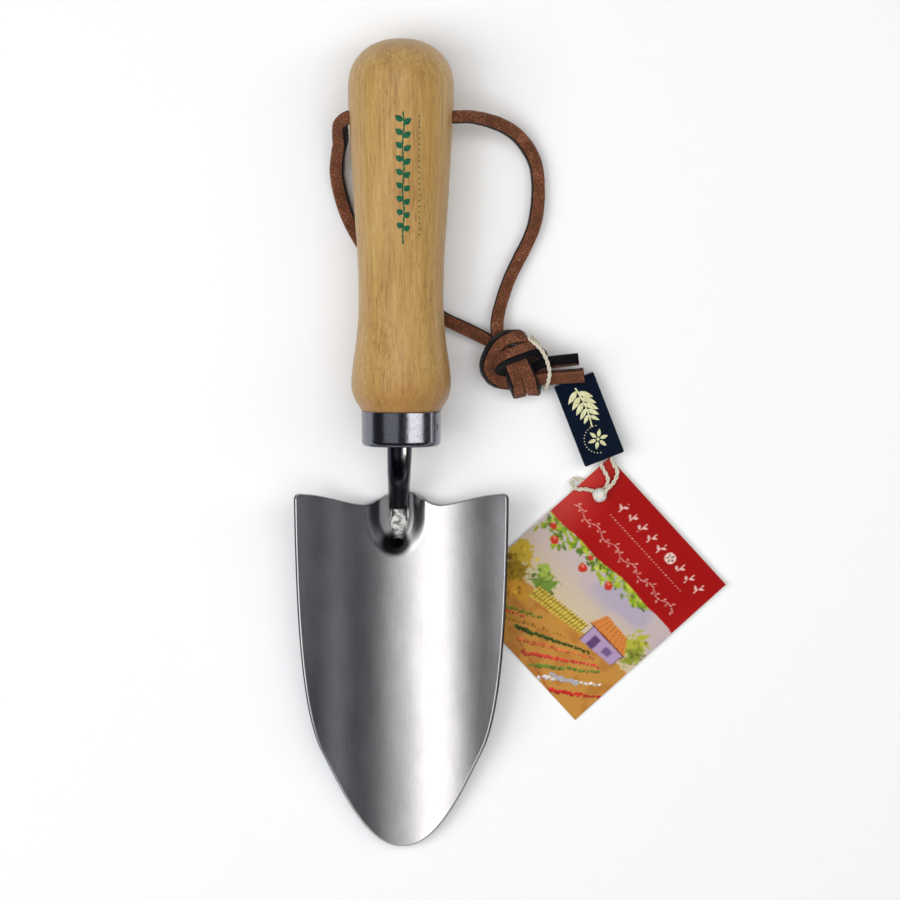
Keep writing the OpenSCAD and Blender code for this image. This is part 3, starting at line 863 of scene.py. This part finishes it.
def make_ferrule():
    """The steel ferrule: a drawn cup with a seam, rounded lower edge and a hole for the tang."""
    fine = math.radians(0.45)
    angles = list(np.linspace(0, 2 * math.pi, 144, endpoint=False))
    angles += [a for middle in (SEAM_ANGLE, PIN_ANGLE) for a in middle + fine * np.arange(-14, 15)]
    angles = np.array(sorted(set(np.round(angles, 6))))
    straight_end = STEEL_END - FERRULE_EDGE
    outer = [[WOOD_END + 0.05, FERRULE_RADIUS - 0.7], [WOOD_END + 0.05, FERRULE_RADIUS - 0.15]]
    outer += [[s, FERRULE_RADIUS] for s in [WOOD_END + 0.2, *np.arange(WOOD_END + 0.5, straight_end, 0.22)]]
    for a in np.radians(np.arange(0, 91, 11.25)):
        bend = FERRULE_RADIUS - FERRULE_EDGE + FERRULE_EDGE * math.cos(a)
        outer.append([straight_end + FERRULE_EDGE * math.sin(a), bend])
    outer += [[STEEL_END, 8.0], [STEEL_END - 0.05, 4.6], [STEEL_END - 0.5, 4.35], [STEEL_END - 0.9, 4.4]]
    inner = [[STEEL_END - 0.9, FERRULE_RADIUS - 1.0], [WOOD_END + 0.1, FERRULE_RADIUS - 0.9]]
    profile = np.array(outer + inner)
    spoilt = (profile[:, :1] < straight_end) * (np.arange(len(profile)) < len(outer))[:, None]
    points = turned_points(profile, angles, spoilt * spoil_ferrule(profile[:, :1], angles[None, :]))
    rows = np.arange(len(points)).reshape(len(profile), len(angles))
    ferrule = mesh_piece("steel_ferrule", points, ring_faces([*rows, rows[0]]))
    fix_normals(ferrule)
    steel = bright_steel("ferrule_steel", (130, 131, 141), 0.12, 0.30, 0.06 * MM)
    dress(ferrule, steel, "tool", "ferrule_steel", "ferrule")
    repaint("ferrule_pin", bright_steel("pin_steel", (120, 118, 118), 0.3, 0.5, 0.1 * MM))


# ---------------------------------------------------------------- blade and tang

SHEET = 1.3
# How far the rounded edge reaches past the sheet's flat sides
RIM_REACH = 0.4
INNER_CURVE = 41.6
BACK_CURVE = 900
BELLY_Y = -70
CHANNEL_FLOOR = 1.65
CHANNEL_WIDTH = 9.4
CHANNEL_TOP_Y, CHANNEL_LENGTH = -12.5, 22.6
CHANNEL_MIDDLE = -1.8
SIDE_CURVES = [
    [[33.2, -15], [32.9, -42], [32.3, -80], [25.3, -95]],
    [[25.3, -95], [18.8, -108.6], [11.3, -126], [0, -126]],
]
TOP_CURVES = [
    [[0, -14], [4.5, -14], [7.5, -17.8], [12, -18.2]],
    [[12, -18.2], [17, -18], [24, -14.5], [32, -13.5]],
    [[32, -13.5], [32.8, -13.4], [33.2, -13.8], [33.2, -15]],
]


def bezier(curves, steps=40):
    """Points along joined cubic curves."""
    t = np.linspace(0, 1, steps, endpoint=False)[:, None]
    parts = []
    for a, b, c, d in np.array(curves, float):
        parts.append(a * (1 - t) ** 3 + 3 * b * t * (1 - t) ** 2 + 3 * c * t**2 * (1 - t) + d * t**3)
    return np.vstack(parts + [np.array(curves[-1][-1:], float)])


def blade_height(x, y):
    """The height of the blade's upper surface in mm, with the channel for the tang pressed in."""
    middle = (y - BELLY_Y) ** 2 / BACK_CURVE + SHEET
    plain = middle + INNER_CURVE - np.sqrt(INNER_CURVE**2 - x**2)
    t = np.clip((CHANNEL_TOP_Y - y) / CHANNEL_LENGTH, 0, 1)
    ratio = np.hypot((x - CHANNEL_MIDDLE) / CHANNEL_WIDTH, np.clip((t - 0.42) / 0.58, 0, 1))
    return plain - np.clip(middle - CHANNEL_FLOOR, 0, None) * (1 - smooth(ratio, 0.55, 1))


def blade_sheet(columns=181, rows=200):
    """The blade's upper surface as a grid of points in mm, and the outward normals of its lower surface."""
    # The lower surface lies this much further out than the upper one, per mm from the middle
    flare = SHEET / INNER_CURVE
    top_line = bezier(TOP_CURVES)
    run = run_along(top_line)
    u = np.linspace(-1, 1, columns)
    u = 0.55 * u + 0.45 * u**3
    start_x = np.sign(u) * np.interp(np.abs(u) * run[-1], run, top_line[:, 0])
    start_y = np.interp(np.abs(u) * run[-1], run, top_line[:, 1])
    side = bezier(SIDE_CURVES)
    width = side[0, 0]
    v = np.linspace(0, 0.997, rows)[:, None]
    v = v - 0.6 * np.sin(2 * math.pi * v) / (2 * math.pi)
    y = start_y[None, :] * (1 - v) + side[-1, 1] * v
    x = start_x[None, :] / width * np.interp(-y, -side[:, 1], side[:, 0])
    x = x * (1 - 0.3 * RIM_REACH / width) - x * flare
    y = y + 0.25 * RIM_REACH * np.clip(v * 2 - 1, 0, 1) - RIM_REACH * np.clip(1 - v * 8, 0, 1)
    upper = np.stack([x, y, blade_height(x, y)], axis=-1)
    return upper, unit(np.cross(np.gradient(upper, axis=0), np.gradient(upper, axis=1)))


def make_blade():
    """The pressed steel scoop: one sheet of even thickness with rounded edges, and painted shade on its outer
    edge and round the weld.
    """
    upper, normal = blade_sheet()
    rows, columns = upper.shape[:2]
    n = rows * columns
    lower = (upper - SHEET * normal).reshape(-1, 3)
    upper, normal = upper.reshape(-1, 3), normal.reshape(-1, 3)
    border = border_of(np.arange(n).reshape(rows, columns))
    edge = upper[border]
    outward = unit(np.cross(np.roll(edge, -1, axis=0) - np.roll(edge, 1, axis=0), normal[border]))
    if ((edge - edge.mean(axis=0)) * outward).sum() < 0:
        outward = -outward
    points = [upper, lower]
    for degrees in (35, 65, 90, 115, 145):
        a = math.radians(degrees)
        drop = normal[border] * (SHEET / 2 * (1 - math.cos(a)))
        points.append(edge + RIM_REACH * math.sin(a) * outward - drop)
    points = np.vstack(points)
    points[n:, 2] = np.maximum(points[n:, 2], 0.03)
    first = np.arange(2 * n, len(points)).reshape(-1, len(border))
    faces = [(a, e, d, b) for a, b, d, e in grid_faces(rows, columns, 0, False)]
    faces += grid_faces(rows, columns, n, False) + ring_faces([border, *first, n + np.array(border)])
    blade = mesh_piece("pressed_blade", points * MM, faces)
    # Where painted shade goes: the outer half of the rounded edge, for its dark reflection, and a patch round
    # the weld, for the shadowed pocket at the channel's end.
    rim = np.zeros(len(points))
    rim[2 * n + 2 * len(border):] = 1
    away = (upper[:, :2] - WELD_MIDDLE) / POCKET_SHADE_REACH
    rim[:n] = 1 - smooth(np.linalg.norm(away, axis=1), 0.75, 1.25)
    mark(blade, "rim", rim)
    dress(blade, satin_steel(), "tool", "blade_steel", "blade")


TANG_RADIUS = 4
CRANK_START, CRANK_RADIUS, CRANK_ANGLE = 127.5, 9, math.radians(50)
ROD_Z, ROD_END = 5.75, -29.6
BEVEL_TOP, BEVEL_SLOPE, BEVEL_SOFTNESS = (-19, 10.4), math.tan(math.radians(39)), 0.3
WELD_MIDDLE = (-2.0, -30.6)
WELD_REACH = (4.2, 3.6)
# How far the painted shade round the weld reaches, in mm
POCKET_SHADE_REACH = (4.6, 3.9)
WELD_FOOT, WELD_HEIGHT = 1.0, 1.7


def bend_arc(angles):
    """Points of the crank's bend, from its centre, as (y, z) in mm."""
    return CRANK_RADIUS * np.column_stack([np.sin(angles), np.cos(angles)])


def tang_line():
    """The tang's middle line in the plane x = 0, as (y, z) in mm: straight, two bends, straight."""
    along = np.linspace(STEEL_END - 6, CRANK_START, 12)[:, None]
    straight = BUTT[1:] / MM - along * (math.cos(HANDLE_TILT), -math.sin(HANDLE_TILT))
    upper = bend_arc(np.linspace(HANDLE_TILT, -CRANK_ANGLE, 24))
    upper += straight[-1] - upper[0]
    drop = upper[-1, 1] - ROD_Z - CRANK_RADIUS * (1 - math.cos(CRANK_ANGLE))
    slope = np.linspace(upper[-1], upper[-1] - drop * np.array([1 / math.tan(CRANK_ANGLE), 1]), 12)
    lower = -bend_arc(np.linspace(-CRANK_ANGLE, 0, 24))
    lower += slope[-1] - lower[0]
    rod = np.linspace(lower[-1], (ROD_END, ROD_Z), 14)
    return np.vstack([straight, upper[1:], slope[1:], lower[1:], rod[1:]])


def make_tang():
    """The cranked rod, slimmer towards its ground and bevelled end, with a painted highlight streak along its
    upper right side.
    """
    line = tang_line()
    path = smooth_route(np.column_stack([np.zeros(len(line)), line]) * MM, 0.3 * MM)
    section = disc_outline(TANG_RADIUS * MM, 48)
    tang = swept("cranked_tang", path, section, *carried_frames(path, (0, 0, 1)), 1)
    ground = []
    for point in tang.data.vertices:
        x, y, z = point.co / MM
        past = y - BEVEL_TOP[0]
        ground_end = smooth(-past, -0.2, 0.4) * smooth(z - ROD_Z, -0.5, 0.5)
        # Painted highlight: a bright streak along the rod's upper right side, fading out towards the blade.
        painted_glint = 0.9 * math.exp(-(((x - 1.9) / 0.4) ** 2)) * smooth(y, -14, 0)
        ground.append(max(ground_end, painted_glint))
        plane = BEVEL_TOP[1] + past * BEVEL_SLOPE + 0.04 * x * x + 5 * max(0, past)
        if plane < z + 3:
            z = -BEVEL_SOFTNESS * np.logaddexp(-z / BEVEL_SOFTNESS, -plane / BEVEL_SOFTNESS)
        lean = smooth(-y, -2, 18)
        slimmer = 0.95 - 0.13 * lean - 0.42 * smooth(-y, 20, 30)
        point.co = Vector((x * slimmer - 0.5 - 0.4 * lean, y, max(z, 1.72))) * MM
    mark(tang, "ground", ground)
    dress(tang, tang_steel(), "tool", "tang_steel", "tang")


def make_weld():
    """The low mound of weld that fixes the tang in the channel."""
    n, rings = 48, 14
    around = 2 * math.pi * np.arange(n) / n
    points = []
    for r in 1 - np.arange(rings) / rings:
        height = WELD_FOOT + WELD_HEIGHT * (1 - r * r) ** 1.2 * (1 + 0.05 * np.sin(5 * around + 1))
        flat = WELD_MIDDLE + r * disc_outline(1, n) * WELD_REACH
        points.append(np.column_stack([flat, height]) * MM)
    weld = mesh_piece("weld_mound", np.vstack(points), tube_faces(rings, n))
    dress(weld, weld_steel(), "tool", "weld_steel", "tang_weld")


# ---------------------------------------------------------------- seal

SEAL_SIZE = (13.1, 26.7, 3.5)
SEAL_PIVOT = np.array([46.2, 18.6, 2.35])
SEAL_TURN = math.radians(-68.7 + 90)
SEAL_GAP = (1.05, 0.5)
# How far the printed panel lies below the seal's rim
PANEL_DEPTH = 0.14


def on_seal(points):
    """Places on the seal, from (across, along from the string hole, height above its top) in mm."""
    across, along, height = np.asarray(points, float).T
    x, y = SEAL_GAP[0] + across, -SEAL_GAP[1] - along
    c, s = math.cos(SEAL_TURN), math.sin(SEAL_TURN)
    return (SEAL_PIVOT + np.column_stack([c * x - s * y, s * x + c * y, SEAL_SIZE[2] + height])) * MM


def make_seal():
    """The moulded tag: a plate with a raised rim, a recessed panel and a printed sprig."""
    width, length, height = SEAL_SIZE
    steps = [
        (0.2, -height, 0.4), (0.05, -height + 0.08, 0.45), (0, -height + 0.25, 0.5), (0, -0.25, 0.5),
        (0.05, -0.08, 0.48), (0.2, 0, 0.42), (0.62, 0, 0.3), (0.74, -0.03, 0.28), (0.82, -0.11, 0.26),
        (0.92, -PANEL_DEPTH, 0.25),
    ]
    points = []
    for inset, level, corner in steps:
        outline = rounded_section(width - 2 * inset, length - 2 * inset, corner, 5)
        outline = outline + np.array([width, length]) / 2
        points.append(on_seal(np.column_stack([outline, np.full(len(outline), level)])))
    seal = mesh_piece("moulded_seal", np.vstack(points), tube_faces(len(steps), len(points[0])))
    fix_normals(seal)
    plastic = seal_plastic()
    dress(seal, plastic, "seal", "seal_plastic", "seal_body")
    repaint("seal_plug", plastic)
    make_seal_print()


def strips(line, width):
    """A band of even width along a line, cut into short convex outlines."""
    along = unit(np.gradient(line, axis=0))
    across = np.column_stack([-along[:, 1], along[:, 0]]) * width / 2
    left, right = line + across, line - across
    return [np.array([left[k], left[k + 1], right[k + 1], right[k]]) for k in range(len(left) - 1)]


def make_seal_print():
    """A cream sprig above a flower with a ring of dots."""
    outlines = []
    t = np.linspace(0, 1, 14)
    stem = np.column_stack([6.0 + 1.0 * np.sin(t * 2.6), 2.6 + 13.2 * t])
    outlines += strips(stem, 0.5)
    for k, (size, lean) in enumerate([(4.9, 52), (4.9, 50), (4.6, 48), (4.0, 46), (3.3, 44)]):
        base = stem[1 + 2 * k]
        for side in (-1, 1):
            leaf = leaf_outline(size, size * 0.36)
            outlines.append(placed(leaf, base + (0.2 * side, 0.5 * (side > 0)), 90 - side * lean))
    flower = np.array([6.9, 20.0])
    for k in range(6):
        outlines.append(placed(leaf_outline(2.6, 1.2), flower + 0.7 * turned(60 * k), 60 * k))
    outlines.append(placed(disc_outline(0.5, 12), flower, 0))
    for k in range(15):
        outlines.append(placed(disc_outline(0.2, 8), flower + 4.3 * turned(100 + 13 * k), 0))
    seal_print = flat_print("seal_print", outlines, lambda p: on_seal(p - (0, 0, PANEL_DEPTH)), 0.05)
    cream = ink("print_cream", (186, 184, 136), (232, 230, 188), 0.6 * MM)
    dress(seal_print, cream, "seal", "seal_plastic")


# ---------------------------------------------------------------- card

CARD_SIZE = (54.4, 64.0, 0.5)
CARD_MIDDLE = np.array([59.6, -45.2, 0.1])
CARD_TURN = math.radians(-47.5)
CARD_LEAN = math.radians(1.4)
BEAD_MIDDLE = np.array([61.7, -15.3, 3.9])
BEAD_RADIUS = 2.3
CARD_HOLE_RADIUS = 2.0
# How far the rounded edge reaches out, and the distance between the painted points
CARD_EDGE, PAINT_STEP = 0.12, 0.34
PLAIN_CARD = (236.0, 228.0, 214.0)


def on_card(points):
    """Places on the card, from (across, up, height above its lower face) in mm, about its middle."""
    u, v, height = np.asarray(points, float).T
    v = v + CARD_SIZE[1] / 2
    y = v * math.cos(CARD_LEAN) - height * math.sin(CARD_LEAN) - CARD_SIZE[1] / 2
    z = v * math.sin(CARD_LEAN) + height * math.cos(CARD_LEAN)
    c, s = math.cos(CARD_TURN), math.sin(CARD_TURN)
    return (CARD_MIDDLE + np.column_stack([c * u - s * y, s * u + c * y, z])) * MM


def soft_noise(u, v, size, seed):
    """Smooth noise from 0 to 1 over the card, with features of that size in mm."""
    grid = np.random.default_rng(seed).random((96, 96))
    a, b = (u + 40) / size % 94, (v + 40) / size % 94
    i, j = a.astype(int), b.astype(int)
    s, t = a - i, b - j
    s, t = s * s * (3 - 2 * s), t * t * (3 - 2 * t)
    low = grid[i, j] * (1 - s) + grid[i + 1, j] * s
    high = grid[i, j + 1] * (1 - s) + grid[i + 1, j + 1] * s
    return low * (1 - t) + high * t


class Painting:
    """A watercolour kept as a colour at each of the card's points. Colours are 0 to 255."""

    def __init__(self, u, v):
        self.u, self.v = u, v
        self.colour = np.full((len(u), 3), 255.0)
        self.rough = soft_noise(u, v, 1.1, 1) + 0.5 * soft_noise(u, v, 0.55, 2) - 0.75

    def lay(self, cover, colour):
        """Paints a colour where cover is 1, and mixes it in where cover is less."""
        self.colour += np.clip(cover, 0, 1)[:, None] * (np.array(colour, float) - self.colour)

    def blob(self, at, size, colour, angle=0, cover=1.0, rough=0.5, soft=0.25):
        """An oval patch with a ragged edge."""
        c, s = math.cos(math.radians(angle)), math.sin(math.radians(angle))
        du, dv = self.u - at[0], self.v - at[1]
        r = np.hypot((c * du + s * dv) / size[0], (c * dv - s * du) / size[1]) + rough * self.rough
        self.lay(cover * (1 - smooth(r, 1 - soft, 1)), colour)

    def line(self, a, b, width, colour, cover=1.0, rough=0.3):
        """A brush stroke from a to b."""
        a, b = np.array(a, float), np.array(b, float)
        d = b - a
        t = np.clip(((self.u - a[0]) * d[0] + (self.v - a[1]) * d[1]) / (d @ d), 0, 1)
        away = np.hypot(self.u - a[0] - t * d[0], self.v - a[1] - t * d[1]) / (width / 2) + rough * self.rough
        self.lay(cover * (1 - smooth(away, 0.6, 1.1)), colour)

    def area(self, corners, colour, cover=1.0, soft=0.25):
        """A filled convex shape, corners anticlockwise."""
        inside = np.full(len(self.u), 9.0)
        for a, b in zip(corners, corners[1:] + corners[:1]):
            d = np.subtract(b, a) / np.hypot(*np.subtract(b, a))
            inside = np.minimum(inside, d[0] * (self.v - a[1]) - d[1] * (self.u - a[0]))
        self.lay(cover * smooth(inside + 0.3 * self.rough, -soft, soft), colour)


def band_edge(u):
    """Where the red band's lower edge runs across the card, in mm."""
    return 8.3 + 1.1 * np.sin((u + 4) / 11.5) + 0.35 * np.sin(u / 3.1)


def paint_garden(p, rng):
    """Sky, trees, fence, shed, crop rows and flowers."""
    p.lay(np.ones(len(p.u)), (196, 178, 176))
    p.lay(0.75 * smooth(-p.v, -4, 12), (212, 192, 146))
    p.lay(0.55 * smooth(soft_noise(p.u, p.v, 9, 3), 0.5, 0.8) * smooth(p.v, -4, 2), (164, 156, 190))
    horizon = -12.4 + 0.09 * p.u + 1.2 * p.rough
    field = smooth(horizon - p.v, -0.4, 0.4)
    p.lay(field, (194, 138, 62))
    p.lay(0.6 * field * smooth(soft_noise(p.u, p.v, 3.2, 4), 0.42, 0.66), (172, 108, 44))
    bushes = [
        ((-24, -9), (5.5, 4.5), (196, 164, 52)), ((-21, -14), (4.8, 4.2), (150, 122, 30)),
        ((-26, -17), (4, 6), (124, 84, 34)), ((-15.8, -17.5), (4.4, 3), (208, 150, 48)),
        ((-12, -9.5), (4.6, 3.9), (112, 140, 56)), ((-14.2, -7.4), (3, 2.4), (156, 176, 74)),
        ((22.4, -2.6), (4.2, 5.4), (178, 176, 62)), ((24.6, -5), (2.6, 4), (140, 148, 52)),
    ]
    for at, size, colour in bushes:
        p.blob(at, size, colour, rough=0.7)
        for _ in range(14):
            spot = np.array(at) + rng.normal(0, 0.45, 2) * size
            p.blob(spot, (0.8, 0.6), np.array(colour) * rng.uniform(0.55, 1.2), rng.uniform(0, 180), 0.7)
    p.area([(-12, -16), (7.5, -12.4), (7.3, -8.6), (-12, -11.4)], (214, 190, 72), 0.9)
    for k in range(17):
        u = -11.4 + 1.15 * k
        p.line((u, -15.4 + 0.19 * k), (u + 0.5, -11.2 + 0.16 * k), 0.42, (112, 84, 28), 0.75)
    p.line((-12, -12.4), (7.4, -9.4), 0.5, (146, 112, 40), 0.8)
    p.line((-12, -14.7), (7.4, -11.3), 0.5, (146, 112, 40), 0.7)
    p.area([(9.2, -13.6), (21.6, -12), (22.3, -7), (9.0, -7.2)], (176, 150, 184))
    p.area([(7.6, -7.4), (22.8, -7.2), (18.9, -2.4), (9.4, -2.0)], (214, 132, 62))
    for k in range(8):
        p.line((8.6 + 1.8 * k, -6.9), (10.2 + 1.2 * k, -2.6), 0.3, (160, 84, 36), 0.7)
    p.line((7.6, -7.4), (22.8, -7.2), 0.5, (120, 60, 36))
    p.area([(11.4, -13.2), (13.9, -12.9), (13.9, -9), (11.4, -9)], (96, 66, 110))
    p.area([(16.4, -11.4), (19.2, -11.1), (19.3, -8.9), (16.4, -9)], (116, 90, 134))
    p.line((9.2, -13.6), (9, -7.2), 0.4, (120, 76, 96))
    p.line((21.7, -12), (22.3, -7), 0.4, (120, 76, 96))
    rows = [
        ((-7, -25.5), (14.4, -14.2), (64, 84, 34), 25), ((-3.4, -27.2), (16.5, -14.6), (210, 110, 60), 22),
        ((0, -29.6), (19.1, -15.2), (204, 66, 52), 24), ((4.6, -30.6), (21, -15.8), (112, 136, 50), 24),
        ((9.5, -31), (24, -18.8), (226, 222, 224), 14), ((14.6, -31.6), (27, -21.4), (200, 44, 40), 20),
        ((-14, -27), (6, -15.6), (178, 124, 46), 20), ((-22, -28), (-4, -17.6), (120, 130, 46), 18),
        ((-24, -31), (-8, -21.5), (198, 84, 50), 16),
    ]
    for a, b, colour, count in rows:
        a, b = np.array(a), np.array(b)
        p.line(a, b, 1.7, (198, 140, 70), 0.5)
        for t in np.linspace(0, 1, count):
            size = 0.95 - 0.4 * t
            spot = a + t * (b - a) + rng.normal(0, 0.16, 2)
            p.blob(spot, (size, size * 0.8), np.array(colour) * rng.uniform(0.8, 1.12), rng.uniform(0, 90))
            p.blob(spot + (0.25, -0.35), (size * 0.4, size * 0.35), np.array(colour) * 0.45, cover=0.7)
    for k in range(11):
        spot = (11.4 + 0.75 * k, -27.8 + 0.42 * k + rng.normal(0, 0.3))
        p.blob(spot, (1.0, 0.7), (172, 168, 172), rng.uniform(0, 90))
    p.line((-4.6, -27.8), (21.8, -33), 0.6, (164, 84, 50), 0.8)


def paint_leaves(p, rng):
    """Foliage that hangs from the band's edge, with red apples."""
    for k in range(230):
        u = rng.uniform(-27, 16)
        hang = (3.4 + 3.2 * math.sin(u * 0.33 + 1.2) ** 2) * (1.25 if u < -12 else 1) * (1 - 0.4 * (u > 8))
        v = band_edge(np.array(u)) + 0.3 - rng.random() ** 1.5 * hang
        green = np.array([(158, 176, 44), (122, 150, 36), (190, 198, 70), (88, 118, 34)][k % 4])
        p.blob((u, v), (1.25, 0.55), green * rng.uniform(0.85, 1.1), rng.uniform(-80, 20), 0.92, 0.5)
    apples = [(-19.5, 1.8, 1.5), (-6.9, 2.3, 1.65), (2.6, 4.4, 1.55), (-7.6, 6.4, 1.0), (-23, 4.6, 1.3)]
    for *at, size in apples:
        p.blob(at, (size, size * 0.94), (196, 52, 36), rough=0.25)
        p.blob((at[0] - 0.5, at[1] + 0.45), (size * 0.4, size * 0.3), (232, 140, 110), cover=0.8)
        p.line((at[0], at[1] + size * 0.8), (at[0] + 0.5, at[1] + size * 1.6), 0.3, (96, 60, 30))


def paint_band(p):
    """The red band, with a pale sprig, a row of small dots, a waving vine and a painted pink glare at its
    upper left.
    """
    band = smooth(p.v - band_edge(p.u), -0.12, 0.12)
    p.lay(band, (160, 8, 8))
    p.lay(0.35 * band * smooth(soft_noise(p.u, p.v, 14, 5), 0.35, 0.8), (180, 30, 22))
    # Painted highlight: a pink glare laid over the band's upper left corner.
    p.lay(0.4 * band * smooth(-p.u - 0.25 * (p.v - 20), 14, 30), (226, 130, 116))
    pale = (238, 206, 196)
    for k in range(9):
        at = np.array([-12.5 + 4.35 * k, 24.6])
        if k == 5:
            p.blob(at, (1.9, 1.9), pale, rough=0.05, soft=0.1)
            for turn in range(0, 360, 72):
                p.blob(at + 0.9 * turned(turn), (0.55, 0.34), (120, 92, 84), turn, rough=0.1)
            continue
        p.line(at + (0, -1.9), at + (0.3, 1.9), 0.3, pale, 0.9, 0.1)
        for side in (-1, 1):
            p.blob(at + (0.75 * side, 0.5 * side), (1.0, 0.42), pale, 90 - 48 * side, 0.9, 0.1)
    for k in range(30):
        p.blob((-13.5 + 1.12 * k, 20.0), (0.24, 0.24), pale, cover=0.75, rough=0.1)
    for k in range(64):
        a, b = [np.array([-23.4 + 0.72 * j, 13.9 + 0.8 * math.sin(j * 0.55)]) for j in (k, k + 1)]
        p.line(a, b, 0.26, pale, 0.7, 0.1)
        if k % 4 == 1:
            p.blob(a + (0.2, 0.95), (0.62, 0.26), pale, 55, 0.7, 0.1)
        if k % 4 == 3:
            p.blob(a + (0.2, -0.95), (0.62, 0.26), pale, -55, 0.7, 0.1)


def card_hole():
    """The shape of the hole for the string, under the bead."""
    angle = np.linspace(0, 2 * math.pi, 32, endpoint=False)
    ring = BEAD_MIDDLE[:2] + CARD_HOLE_RADIUS * np.column_stack([np.cos(angle), np.sin(angle)])
    points = [[x, y, z] for z in (-1.0, 6.0) for x, y in ring]
    return mesh_piece("card_hole", np.array(points) * MM, tube_faces(2, len(ring)))


def make_card():
    """The printed card: a thin sheet with a painted front, a plain back and round edges."""
    width, length, thick = CARD_SIZE
    columns, rows = int(width / PAINT_STEP) + 1, int(length / PAINT_STEP) + 1
    us = np.linspace(-width / 2 + CARD_EDGE, width / 2 - CARD_EDGE, columns)
    vs = np.linspace(-length / 2 + CARD_EDGE, length / 2 - CARD_EDGE, rows)
    u, v = [a.ravel() for a in np.meshgrid(us, vs)]
    rng = np.random.default_rng(21)
    painting = Painting(u, v)
    paint_garden(painting, rng)
    paint_leaves(painting, rng)
    paint_band(painting)
    n = len(u)
    front = np.column_stack([u, v, np.full(n, thick)])
    border = border_of(np.arange(n).reshape(rows, columns))
    edge = front[border, :2]
    out = np.sign(edge) * (np.abs(edge) > np.array([width, length]) / 2 - CARD_EDGE * 1.5)
    points = [front]
    for move, level in ((0.7, thick - 0.04), (1, thick / 2), (0.7, 0.04), (0, 0)):
        points.append(np.column_stack([edge + out * CARD_EDGE * move, np.full(len(border), level)]))
    points = np.vstack(points)
    rings = np.arange(n, len(points)).reshape(-1, len(border))
    faces = grid_faces(rows, columns, 0, False) + ring_faces([border, *rings]) + [rings[-1][::-1]]
    card = mesh_piece("printed_card", on_card(points), faces)
    colours = np.full((len(points), 3), PLAIN_CARD) / 255
    colours[:n] = np.clip(painting.colour, 0, 255) / 255
    linear = np.where(colours <= 0.04045, colours / 12.92, ((colours + 0.055) / 1.055) ** 2.4)
    layer = card.data.color_attributes.new("paint", "FLOAT_COLOR", "POINT")
    layer.data.foreach_set("color", np.insert(linear, 3, 1, axis=1).ravel().astype(np.float32))
    fix_normals(card)
    cut_by(card, card_hole())
    dress(card, card_look(), "tag", "card", "card")


def make_bead():
    """The pearly bead that the card's string is drawn through."""
    n, rings = 40, 25
    axis, side = turned(20), turned(20 + 90)
    points = []
    for a in np.linspace(0, math.pi, rings):
        r, h = BEAD_RADIUS * (0.25 + 0.75 * math.sin(a)), BEAD_RADIUS * 0.93 * math.cos(a)
        around = r * disc_outline(1, n)
        flat = BEAD_MIDDLE[:2] + h * axis + around[:, :1] * side
        points.append(np.column_stack([flat, BEAD_MIDDLE[2] + around[:, 1]]) * MM)
    bead = mesh_piece("pearl_bead", np.vstack(points), tube_faces(rings, n))
    fix_normals(bead)
    dress(bead, pearl(), "tag", "bead", "string_bead")


# ---------------------------------------------------------------- the scene

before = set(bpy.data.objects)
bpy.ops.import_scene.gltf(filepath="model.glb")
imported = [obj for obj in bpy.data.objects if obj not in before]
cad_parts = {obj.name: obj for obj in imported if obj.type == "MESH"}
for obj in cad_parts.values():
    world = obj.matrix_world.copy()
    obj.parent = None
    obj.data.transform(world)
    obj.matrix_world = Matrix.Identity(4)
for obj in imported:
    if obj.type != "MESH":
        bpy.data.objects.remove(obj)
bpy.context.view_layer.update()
make_camera()
make_floor()
make_cords()
make_handle()
make_ferrule()
make_blade()
make_tang()
make_weld()
make_seal()
make_card()
make_bead()
make_lights()
